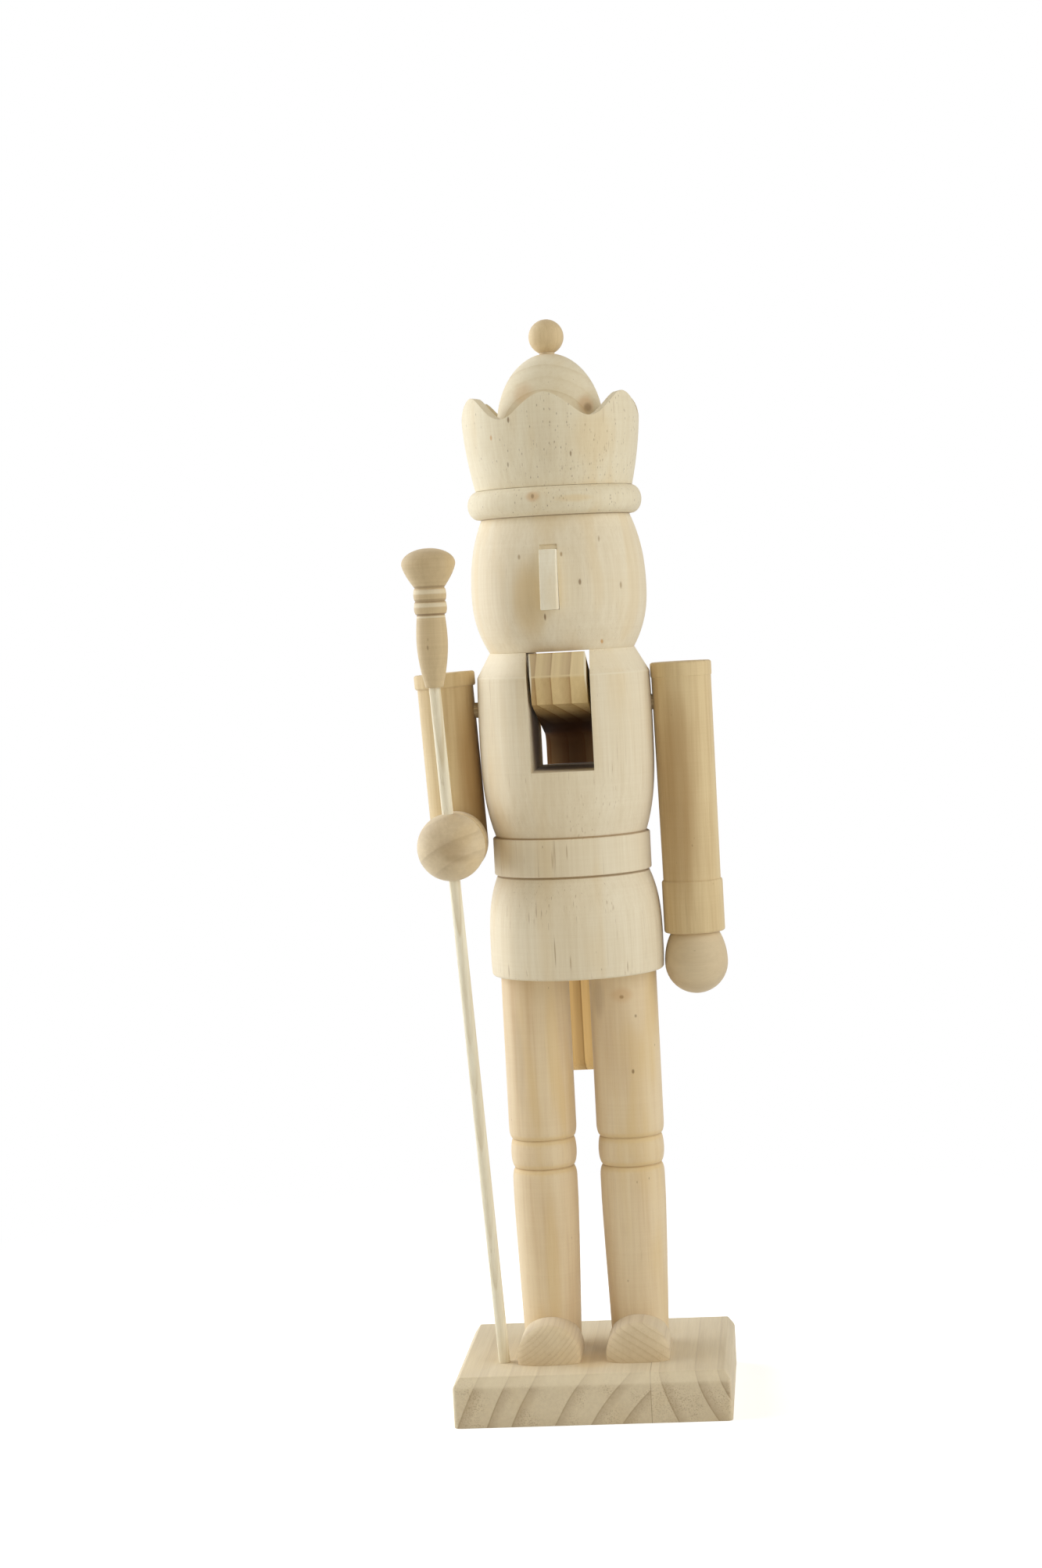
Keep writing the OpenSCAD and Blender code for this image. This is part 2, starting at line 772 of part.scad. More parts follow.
// The saw's path across the crown: everything above one wave from peak to peak
module crown_wave_cut() {
    half = crown_r * sin(180 / crown_peaks);
    top = crown_z + crown_h;
    steps = 2 * swell_steps;
    rotate([90, 0, 0]) linear_extrude(4 * crown_r, center = true) polygon(concat(
        [for (i = [0:steps]) let (x = half * (2 * i / steps - 1))
            [x, top - crown_wave * (1 + cos(180 * x / half)) / 2]],
        [[half, top + cut], [-half, top + cut]]
    ));
}

module crown() {
    color(hat_wood) difference() {
        turned(crown_line);
        for (i = [0:crown_peaks / 2 - 1]) rotate(360 / crown_peaks * (i + 0.5)) crown_wave_cut();
        at_hat_dowel() dowel_hole(dowel_r, hat_dowel_len);
    }
}

// Half an ellipse from the dome's foot to the flat on its top
dome_line = [
    for (i = [0:2 * swell_steps]) let (a = acos(dome_flat_r / dome_r) * i / (2 * swell_steps))
        [dome_r * cos(a), dome_z + dome_h * sin(a) / sin(acos(dome_flat_r / dome_r))]
];

module hat_dome() {
    color(hat_wood) difference() {
        turned(dome_line);
        at_hat_dowel() dowel_hole(dowel_r, hat_dowel_len);
        at_finial_pin() dowel_hole(finial_r, finial_pin_len);
    }
}

module hat_dowel() {
    color(dowel_wood) at_hat_dowel() dowel(dowel_r, hat_dowel_len);
}

module finial_ball() {
    color(hat_wood) difference() {
        translate([0, 0, ball_z]) sphere(ball_r, $fn = round_fn);
        at_finial_pin() dowel_hole(finial_r, finial_pin_len);
    }
}

module finial_pin() {
    color(dowel_wood) at_finial_pin() cylinder(r = finial_r, h = finial_pin_len, $fn = round_fn);
}

// A collar or cuff in a turned outline, with both edges rounded to what meets them
function band(low_r, r, high_r, low_z, high_z) = concat(
    round_out(low_r, r, low_z, low_z + cuff_edge),
    round_in(r, high_r, high_z - cuff_edge, high_z)
);

module left_arm() {
    color(arm_wood) difference() {
        at_left_arm() turned(concat(
            band(cuff_r - cuff_edge, cuff_r, sleeve_low_r, 0, cuff_h),
            band(sleeve_r, collar_r, collar_r - cuff_edge, arm_len - collar_h, arm_len)
        ));
        at_left_shoulder() dowel_hole(slim_dowel_r, left_shoulder_len);
        at_left_wrist() dowel_hole(peg_r, left_wrist_len);
    }
}

// A hand, hanging from its wrist at the origin: half a ball that draws in slowly towards the cuff
module hand(r) {
    wrist_turn = acos(wrist_r / r);
    turned(concat(
        [
            for (i = [0:swell_steps])
                let (a = 90 * (i / swell_steps - 1))
                    [r * cos(a), r * sin(a) - hand_rise]
        ],
        [for (i = [1:swell_steps]) let (a = wrist_turn * i / swell_steps)
            [r * cos(a), hand_rise * (sin(a) / sin(wrist_turn) - 1)]]
    ));
}

module left_hand() {
    color(arm_wood) difference() {
        at_left_arm() hand(left_hand_r);
        at_left_wrist() dowel_hole(peg_r, left_wrist_len);
    }
}

module left_wrist_dowel() {
    color(dowel_wood) at_left_wrist() dowel(peg_r, left_wrist_len);
}

module left_shoulder_dowel() {
    color(dowel_wood) at_left_shoulder() dowel(slim_dowel_r, left_shoulder_len);
}

// Lengths of the bent arm's two turnings before the mitre is sawn
upper_len = 2 * bent_r + elbow_drop + arm_rise;
fore_len = 2 * bent_r + forearm_len;

// Half of space on one side of the elbow's mitre, as a block; the upper arm is on its upper side
module mitre_half(upper) {
    size = 8 * bent_r;
    rotate([-45, 0, 0]) translate([-size / 2, -size / 2, upper ? 0 : -size]) cube(size);
}

module right_upper_arm() {
    color(arm_wood) difference() {
        intersection() {
            at_elbow() translate([0, 0, -2 * bent_r]) turned(concat(
                [[bent_r, 0]],
                band(bent_r, collar_r, collar_r - cuff_edge, upper_len - collar_h, upper_len)
            ));
            at_elbow() scale(2) mitre_half(true);
        }
        at_right_shoulder() dowel_hole(slim_dowel_r, right_shoulder_len);
        at_elbow_dowel() dowel_hole(peg_r, 2 * elbow_peg_depth);
    }
}

module right_forearm() {
    color(arm_wood) difference() {
        at_elbow() intersection() {
            rotate([90, 0, 0]) translate([0, 0, -2 * bent_r]) turned(concat(
                [[bent_r, 0]],
                band(bent_r, bent_cuff_r, bent_cuff_r - cuff_edge, fore_len - bent_cuff_h, fore_len)
            ));
            mitre_half(false);
        }
        at_elbow_dowel() dowel_hole(peg_r, 2 * elbow_peg_depth);
        at_right_wrist() dowel_hole(peg_r, right_wrist_len);
    }
}

module elbow_dowel() {
    color(dowel_wood) at_elbow_dowel() dowel(peg_r, 2 * elbow_peg_depth);
}

module right_hand() {
    color(arm_wood) difference() {
        at_elbow() translate([0, -forearm_len, 0]) rotate([-90, 0, 0]) hand(right_hand_r);
        along_staff() cylinder(r = staff_r + glue_gap, h = 2 * norm(staff_line), $fn = round_fn);
        at_right_wrist() dowel_hole(peg_r, right_wrist_len);
    }
}

module right_wrist_dowel() {
    color(dowel_wood) at_right_wrist() dowel(peg_r, right_wrist_len);
}

module right_shoulder_dowel() {
    color(dowel_wood) at_right_shoulder() dowel(slim_dowel_r, right_shoulder_len);
}

// The rod runs up into the scepter's grip, and its foot is cut level with the board
module staff() {
    color(staff_wood) difference() {
        along_staff() translate([0, 0, -dowel_depth])
            cylinder(r = staff_r, h = staff_len + 2 * dowel_depth, $fn = round_fn);
        translate([-base_w, -base_d, base_h - 4 * dowel_depth])
            cube([2 * base_w, 2 * base_d, 4 * dowel_depth]);
    }
}

ring_foot_r = ring_r - ring_groove;
knob_z = grip_h + 2 * ring_h;
scepter_line = concat(
    swell(grip_low_r, grip_r, grip_top_r, 0, grip_full_h, grip_h, grip_power),
    round_out(ring_foot_r, ring_r, grip_h, grip_h + ring_h / 2),
    round_in(ring_r, ring_foot_r, grip_h + ring_h / 2, grip_h + ring_h),
    round_out(ring_foot_r, ring_r, grip_h + ring_h, grip_h + 1.5 * ring_h),
    round_in(ring_r, ring_foot_r, grip_h + 1.5 * ring_h, knob_z),
    [for (i = [swell_steps:-1:1]) let (u = i / swell_steps)
        [knob_r - (knob_r - ring_foot_r) * pow(u, knob_power), knob_z + knob_flare_h * (1 - u)]],
    [for (i = [0:swell_steps]) let (a = acos(knob_flat_r / knob_r) * i / swell_steps)
        [knob_r * cos(a), knob_z + knob_flare_h + knob_top_h * sin(a)]]
);

// The scepter tilts where its grip meets the bare rod, and its bore follows the rod
module scepter_head() {
    foot = staff_foot + staff_len * unit(staff_line);
    color(arm_wood) difference() {
        translate(foot)
            rotate([0, scepter_tilt, 0])
            rotate([0, staff_lean, staff_turn])
            turned(scepter_line);
        along_staff() translate([0, 0, staff_len - cut])
            cylinder(r = staff_r + glue_gap, h = dowel_depth + glue_gap + cut, $fn = round_fn);
    }
}

base();
foot_left();
foot_right();
leg_left();
leg_right();
leg_base_dowels();
leg_body_dowels();
body();
pivot_pin();
jaw_lever();
neck_dowels();
head();
nose();
hat_brim();
crown();
hat_dome();
hat_dowel();
finial_ball();
finial_pin();
left_arm();
left_hand();
left_wrist_dowel();
left_shoulder_dowel();
right_upper_arm();
right_forearm();
elbow_dowel();
right_hand();
right_wrist_dowel();
right_shoulder_dowel();
staff();
scepter_head();
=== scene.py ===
"""Looks of an unpainted wooden nutcracker: bare woods, eased edges and a plain white studio."""

import json
import math
from collections import namedtuple

import bpy
from mathutils import Matrix, Vector


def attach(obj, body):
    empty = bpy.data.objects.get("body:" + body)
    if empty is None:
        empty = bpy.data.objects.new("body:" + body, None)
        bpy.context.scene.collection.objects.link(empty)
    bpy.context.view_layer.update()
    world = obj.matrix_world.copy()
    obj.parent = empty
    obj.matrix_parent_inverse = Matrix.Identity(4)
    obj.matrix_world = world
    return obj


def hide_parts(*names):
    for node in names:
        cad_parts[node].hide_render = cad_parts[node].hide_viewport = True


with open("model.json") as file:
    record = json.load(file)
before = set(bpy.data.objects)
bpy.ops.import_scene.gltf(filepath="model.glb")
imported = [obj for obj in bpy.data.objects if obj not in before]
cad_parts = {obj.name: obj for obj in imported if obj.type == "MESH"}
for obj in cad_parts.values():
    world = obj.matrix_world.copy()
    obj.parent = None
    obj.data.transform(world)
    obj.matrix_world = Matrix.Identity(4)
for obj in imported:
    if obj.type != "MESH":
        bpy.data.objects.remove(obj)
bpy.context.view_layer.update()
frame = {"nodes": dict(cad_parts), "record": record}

bl_info = {
    "name": "Unpainted Nutcracker",
    "version": (1, 0, 0),
    "blender": (4, 5, 0),
    "location": "3D View > Sidebar > Nutcracker",
    "description": "Dresses the nutcracker's solids in bare wood and sets up its studio",
    "category": "Object",
}

MM = 0.001
IMAGE_W = 1333
IMAGE_H = 2005
WHITE = (1.0, 1.0, 1.0)
SLOTS = {part["node"]: part["material_slot"] for part in frame["record"]["subparts"]}


def linear(red, green, blue):
    """A screen colour, 0 to 255, as the light value that a shader takes."""
    def channel(value):
        share = value / 255
        return share / 12.92 if share <= 0.04045 else ((share + 0.055) / 1.055) ** 2.4
    return tuple(channel(value) for value in (red, green, blue))


def tint(label, what, red, green, blue):
    """A colour property with its default given as a screen colour."""
    default = linear(red, green, blue)
    return bpy.props.FloatVectorProperty(
        name=label, description=what, subtype="COLOR", size=3, min=0, max=1, default=default
    )


def length(label, what, millimetres):
    """A length property with its default given in millimetres."""
    return bpy.props.FloatProperty(
        name=label, description=what, subtype="DISTANCE", unit="LENGTH", min=0, default=millimetres * MM
    )


def angle(label, what, degrees):
    """An angle property with its default given in degrees."""
    return bpy.props.FloatProperty(
        name=label, description=what, subtype="ANGLE", unit="ROTATION", default=math.radians(degrees)
    )


def amount(label, what, value, subtype):
    """A number property of another kind."""
    return bpy.props.FloatProperty(name=label, description=what, subtype=subtype, min=0, default=value)


class NutcrackerWoods(bpy.types.PropertyGroup):
    """Colours of the bare woods, each as its early growth and its late growth, and of their marks"""

    # The pale body colour also serves as painted light on the shoulder bevel
    body_early: tint("Body", "Pale wood of body and head", 236, 224, 196)
    body_late: tint("Body, late wood", "Darker grain of body and head", 198, 174, 128)
    hat_early: tint("Hat", "Pale wood of the hat", 234, 223, 194)
    hat_late: tint("Hat, late wood", "Darker grain of the hat", 198, 174, 124)
    # The pale nose colour also serves as painted highlights on the jaw lever's front edges
    nose_early: tint("Nose", "Pale wood of the nose", 246, 238, 214)
    nose_late: tint("Nose, late wood", "Darker grain of the nose", 214, 194, 152)
    leg_early: tint("Legs", "Warm wood of the legs", 231, 210, 172)
    leg_late: tint("Legs, late wood", "Darker grain of the legs", 194, 157, 110)
    foot_early: tint("Feet", "Wood of the toe blocks", 226, 208, 172)
    foot_late: tint("Feet, late wood", "Darker grain of the toe blocks", 170, 140, 100)
    arm_early: tint("Arms", "Tan wood of the arms", 224, 201, 154)
    # The arms' late colour also serves as painted shade on their sides towards the body
    arm_late: tint("Arms, late wood", "Darker grain of the arms", 172, 134, 80)
    hand_early: tint("Hands", "Wood of the hands and the hat's ball", 224, 204, 166)
    hand_late: tint("Hands, late wood", "Darker grain of the hands", 158, 132, 98)
    scepter_early: tint("Scepter", "Wood of the scepter head", 211, 188, 145)
    scepter_late: tint("Scepter, late wood", "Darker grain of the scepter head", 148, 121, 84)
    # The jaw's pale colour also serves as a painted highlight along its front crease
    jaw_early: tint("Jaw", "Yellow softwood of the jaw lever", 231, 206, 151)
    jaw_late: tint("Jaw, late wood", "Darker grain of the jaw lever", 156, 114, 66)
    # Painted light: a lighter colour for the lever's hanging end, standing in for light that reaches it
    # between the legs
    tail_painted_light: tint("Tail", "Lighter wood at the lever's hanging end", 255, 224, 160)
    # The board colour also serves as painted light on its front bevel
    board_early: tint("Board", "Softwood of the base board", 232, 217, 184)
    board_late: tint("Board, late wood", "Darker grain of the base board", 156, 130, 96)
    # The pale staff colour also serves as painted light on the jaw lever's upper face and on the scepter's
    # beads
    staff_early: tint("Staff", "Pale rod of the staff", 246, 238, 212)
    staff_late: tint("Staff, late wood", "Darker grain of the staff", 196, 172, 124)
    dowel_early: tint("Dowels", "Wood of the dowels", 222, 204, 168)
    dowel_late: tint("Dowels, late wood", "Darker grain of the dowels", 176, 146, 102)
    # The ochre colour also serves as painted shade: left of the nose, between the feet, in the knee grooves
    # and down the middle of the body's front
    warm: tint("Warm patches", "Ochre tone of patches in the wood", 222, 192, 134)
    # This dark colour serves both for lines along the grain and for painted shade at the belt's edges and
    # in the knee grooves
    hair: tint("Hair lines", "Thin dark lines along the grain", 158, 126, 82)
    # The fleck colour also serves as painted shade in the scepter's grooves and at the dome's foot
    fleck: tint("Flecks", "Short dark flecks along the grain", 128, 98, 62)
    # The knot colour also serves as painted shade at the dome's foot
    knot: tint("Knots", "Orange wood round a knot", 204, 152, 88)
    # Painted shade: a dark brown put deep in the slot, in the jaw lever's crook, under the brim and at the
    # top of a leg, where shade falls
    burnt: tint("Saw burn", "Wood darkened by the saw deep in the slot", 98, 56, 22)


class NutcrackerSizes(bpy.types.PropertyGroup):
    """Rounding of the edges that a maker sands by hand"""

    board_edge: length("Board edges", "Rounding of the base board's edges", 0.5)
    foot_edge: length("Toe edges", "Rounding of the toe blocks' edges", 0.7)
    leg_edge: length("Leg edges", "Rounding of the legs' grooves and ends", 0.5)
    turned_edge: length("Turned edges", "Rounding of the edges left by the lathe", 0.15)
    slot_edge: length("Slot edges", "Rounding of the body's sawn edges", 0.2)
    jaw_edge: length("Jaw edges", "Rounding of the jaw lever's edges", 0.1)
    head_edge: length("Head edges", "Rounding of the head's rims", 0.06)
    nose_edge: length("Nose edges", "Rounding of the nose's edges", 0.35)
    crown_edge: length("Crown edges", "Rounding of the crown's sawn rim", 0.35)
    crease: angle("Crease", "Edges sharper than this are eased, or stay creased", 20)


class NutcrackerStage(bpy.types.PropertyGroup):
    """Camera and light of the studio"""

    focal_px: amount("Focal length", "Focal length of the camera in pixels of the picture", 4000, "PIXEL")
    distance: length("Distance", "Distance of the camera in front of the figure's axis", 1013)
    side: length("Side step", "Step of the camera to the left of the line through the axis", 3.5)
    height: length("Height", "Height of the camera over the floor", 258.6)
    turn: angle("Turn", "Turn of the camera round the figure, towards its left arm", 4.2)
    yaw: angle("Yaw", "Turn of the camera to the left of the figure's axis", 0.68)
    pitch: angle("Pitch", "Tilt of the camera below the horizon", 3.23)
    roll: angle("Roll", "Roll of the camera, clockwise", 2.99)
    side_tint: tint("Side tint", "Colour of the soft light on the left", 242, 247, 255)
    front_tint: tint("Front tint", "Colour of the soft light on the right", 247, 250, 255)
    side_light: amount("Side light", "Power of the soft light on the left", 21.0, "POWER")
    front_light: amount("Front light", "Power of the soft light on the right", 11.8, "POWER")
    ambient: amount("Ambient", "Strength of the light from all round", 0.285, "FACTOR")
    ambient_tint: tint("Ambient tint", "Colour of the light from all round", 255, 243, 219)
    floor_glow: amount("Floor glow", "White that the camera sees in the floor by itself", 0.55, "FACTOR")


class Wire:
    """An output socket of a tree of nodes; sums of wires and numbers add Math nodes."""

    # Sockets of a Mix node that carry colours
    mix_factor, mix_first, mix_second, mix_result = 0, 6, 7, 2

    def __init__(self, tree, socket=None):
        self.tree = tree
        self.socket = socket

    def node(self, kind, settings=None, inputs=None, output=0):
        """Adds a node, sets it up, fills or links its sockets, and gives back one of its outputs."""
        made = self.tree.nodes.new("ShaderNode" + kind)
        for name, value in (settings or {}).items():
            if name == "stops":
                self.set_stops(made.color_ramp, value)
            else:
                setattr(made, name, value)
        for key, value in (inputs or {}).items():
            if isinstance(value, Wire):
                self.tree.links.new(value.socket, made.inputs[key])
            else:
                made.inputs[key].default_value = value
        return Wire(self.tree, made.outputs[output])

    @staticmethod
    def set_stops(ramp, stops):
        """Puts stops of place and grey value on a ramp."""
        while len(ramp.elements) < len(stops):
            ramp.elements.new(1)
        for element, (place, value) in zip(ramp.elements, stops):
            element.position = place
            element.color = (value, value, value, 1)

    def also(self, output):
        """Another output of the node that this wire leaves."""
        return Wire(self.tree, self.socket.node.outputs[output])

    def math(self, operation, *values):
        """A Math node over numbers."""
        return self.node("Math", {"operation": operation}, dict(enumerate(values)))

    def vector(self, operation, *values, output=0):
        """A Vector Math node over places or directions."""
        return self.node("VectorMath", {"operation": operation}, dict(enumerate(values)), output)

    def mix(self, first, second):
        """Colours mixed by this wire: the first at 0, the second at 1."""
        first, second = (value if isinstance(value, Wire) else (*value, 1) for value in (first, second))
        inputs = {self.mix_factor: self, self.mix_first: first, self.mix_second: second}
        return self.node("Mix", {"data_type": "RGBA"}, inputs, self.mix_result)

    def step(self, low, high):
        """A smooth step from 0 at low to 1 at high."""
        inputs = {"Value": self, "From Min": low, "From Max": high}
        return self.node("MapRange", {"interpolation_type": "SMOOTHSTEP"}, inputs)

    def noise(self, figure, output="Fac"):
        """Noise over this vector, cut to a mask where the figure says between which values."""
        place = self.vector("MULTIPLY", self, figure.scale)
        inputs = {"Vector": place, "Scale": 1.0, "Detail": figure.detail}
        made = self.node("TexNoise", None, inputs, output)
        return made if figure.mask is None else made.step(*figure.mask)

    def __abs__(self):
        return self.math("ABSOLUTE", self)

    def __add__(self, other):
        return self.math("ADD", self, other)

    def __radd__(self, other):
        return self.math("ADD", other, self)

    def __sub__(self, other):
        return self.math("SUBTRACT", self, other)

    def __rsub__(self, other):
        return self.math("SUBTRACT", other, self)

    def __mul__(self, other):
        return self.math("MULTIPLY", self, other)

    def __rmul__(self, other):
        return self.math("MULTIPLY", other, self)

    def __truediv__(self, other):
        return self.math("DIVIDE", self, other)

    def __rtruediv__(self, other):
        return self.math("DIVIDE", other, self)

    def __gt__(self, other):
        return self.math("GREATER_THAN", self, other)

    def __lt__(self, other):
        return self.math("LESS_THAN", self, other)


# How strongly a wood shows its growth rings, fine streaks and broad bands along the grain, patches of tone,
# patches of warm colour, thin dark lines along the grain, flecks, marks of the lathe, pits in the end grain
# and a sheen
Wood = namedtuple("Wood", "rings streaks bands patches warmth hairs flecks lathe pits sheen")
TURNED = Wood(
    rings=0.08, streaks=0.42, bands=0.16, patches=0.40, warmth=0.24,
    hairs=0.45, flecks=0.01, lathe=0.16, pits=0.1, sheen=0.24,
)
HEAD = TURNED._replace(hairs=0.15, flecks=0.0)
HAT = TURNED._replace(patches=0.25, warmth=0.28, hairs=0.30, flecks=0.75)
LEG = TURNED._replace(rings=0.12, bands=0.55, patches=0.85, warmth=0.60, hairs=0.12)
ARM = Wood(
    rings=0.12, streaks=0.50, bands=0.65, patches=1.00, warmth=0.30,
    hairs=0.20, flecks=0.02, lathe=0.12, pits=0.2, sheen=0.24,
)
HAND = Wood(
    rings=0.26, streaks=0.34, bands=0.30, patches=0.80, warmth=0.25,
    hairs=0.05, flecks=0.01, lathe=0.08, pits=0.1, sheen=0.24,
)
DOME = HAND._replace(rings=0.36, bands=0.20, patches=0.60, warmth=0.35)
BALL = HAND._replace(rings=0.06, streaks=0.30, bands=0.25, patches=0.60, lathe=0.10)
FINIAL = BALL._replace(rings=0.30, streaks=0.60)
KNOB = BALL._replace(bands=0.20, patches=0.40, hairs=0.15, flecks=0.03, lathe=0.28)
ROD = BALL._replace(rings=0.40, streaks=0.60, patches=0.30, warmth=0.05, hairs=0.40, lathe=0.0)
TOE = Wood(
    rings=0.32, streaks=0.30, bands=0.15, patches=0.55, warmth=0.20,
    hairs=0.0, flecks=0.0, lathe=0.0, pits=0.3, sheen=0.24,
)
PINE = TOE._replace(rings=0.75, bands=0.10, patches=0.25, warmth=0.10, pits=1.0, sheen=0.0)
BOARD = PINE._replace(rings=0.64, pits=0.8, sheen=0.08)

# How a piece lies in its tree, in millimetres: the axis along its grain, the pith's two places across that
# axis, the width of a ring or the radii of the rings that show, how far the rings wander, and the height
# from which an upright grain leans aside with how far it leans for each millimetre
Cut = namedtuple("Cut", "axis pith ring wander lean", defaults=(3.0, None))
# A glued seam: its place across the figure in millimetres, and the cut of the wood beyond it
Seam = namedtuple("Seam", "place cut")
# Turns that bring each grain axis upright
GRAIN_TURNS = {
    "X": (0, math.radians(-90), 0),
    "Y": (math.radians(90), 0, 0),
    "Z": (0, 0, 0),
}

# Where the radii of the rings are given, in millimetres: how dark a ring is at distances from its end, and
# how much wood is kept inside the first ring and outside the last
RING_DARKENING = ((-3.6, 0.02), (-2.2, 0.30), (-0.5, 0.58), (-0.15, 1.0), (0.1, 0.0))
RING_MARGINS = (5, 1)
# Where the rings have one width: how dark a year is at shares of its growth, how quickly and how far the
# width changes from year to year, and the share of darkness that the faintest year keeps
YEAR_DARKENING = ((0, 0.1), (0.4, 0.0), (0.75, 0.4), (0.94, 1), (1, 0.1))
YEAR_CHANGE = 0.7
YEAR_SPREAD = 0.8
FAINTEST_YEAR = 0.4

# A noise in the wood: its scale for each millimetre across and along an upright grain, its detail, and the
# two values between which it is cut to a mask
Figure = namedtuple("Figure", "scale detail mask", defaults=(None,))
NOISE_MEAN = 0.5
RING_WANDER = Figure((0.035, 0.035, 0.008), 2)
STREAKS = Figure((0.9, 0.9, 0.02), 4)
FIBRES = Figure((4.5, 4.5, 0.09), 2)
BANDS = Figure((0.28, 0.28, 0.014), 2)
PATCHES = Figure((0.06, 0.06, 0.02), 3)
LATHE_LINES = Figure((0.02, 0.02, 1.6), 2)
WARM_PATCHES = Figure((0.09, 0.09, 0.018), 2, (0.5, 0.72))
HAIR_LINES = Figure((2.6, 2.6, 0.035), 1, (0.66, 0.74))
HAIR_PATCHES = Figure((0.1, 0.1, 0.03), 1, (0.42, 0.62))
FLECK_ROWS = Figure((1.0, 1.0, 0.004), 1, (0.52, 0.58))
PIT_PATCHES = Figure((0.11, 0.11, 0.05), 1, (0.42, 0.62))
SOUND_WOOD = Figure((2.2, 2.2, 0.6), 2, (0.34, 0.5))

# Tone of plain wood between its early and its late colour, share of the fibres beside the streaks, and
# share of the rings that shows where a glued board is cut along its grain
MEAN_TONE = 0.14
FIBRE_SHARE = 0.6
SIDE_RINGS = 0.3
# How squarely a face has to cut across the grain to show end grain
END_GRAIN = (0.55, 0.95)
# Flecks: cells for each millimetre, their size, where they thicken across the figure in millimetres, the
# share of rows on their thin side, and the share of flecks outside the rows
FLECK_CELLS = (1.3, 1.3, 0.6)
FLECK_SIZE = (0.02, 0.38)
FLECK_SIDE = (-9, 3)
FEWEST_ROWS = 0.2
STRAY_FLECKS = 0.03
# Half the width of a glue line in millimetres, as its solid part and its fading part
GLUE_LINE = (0.05, 0.2)
# How much these take of a darker colour
FLECK_DARKNESS = 0.6
PIT_DARKNESS = 0.5
END_DARKNESS = 0.08
GLUE_DARKNESS = 0.6
# How much these stand out of the surface or lie in it
STREAK_RELIEF = 0.5
FIBRE_RELIEF = 0.35
FLECK_RELIEF = 0.5
PIT_RELIEF = 1.5
LATHE_RELIEF = 2
RELIEF_HEIGHT = 0.15 * MM
RELIEF_STRENGTH = 0.35
# Shine of the bare surface, and how it changes with the fibres and on end grain
SPECULAR = 0.25
ROUGHNESS = 0.6
FIBRE_ROUGHNESS = 0.2
END_ROUGHNESS = 0.1

# A mark at a place on a piece: its middle and its reach on each axis in millimetres, its colour and its
# strength, the share of its reach where it starts to fade, and whether faces to the sides stay clean of it
Mark = namedtuple("Mark", "place reach colour strength fade clean_sides", defaults=(0.35, False))
# Reach of a mark over a whole piece, and reach of a thin line across the figure and into the wood
WHOLE = 300
LINE_REACH = (0.28, 4)


def all_round(height, reach, colour, strength, axis=(0, 0)):
    """A mark round a whole piece at one height."""
    return Mark((*axis, height), (WHOLE, WHOLE, reach), colour, strength)


def thin_line(place, reach, strength):
    """A thin dark line down a piece."""
    return Mark(place, (*LINE_REACH, reach), "hair", strength)
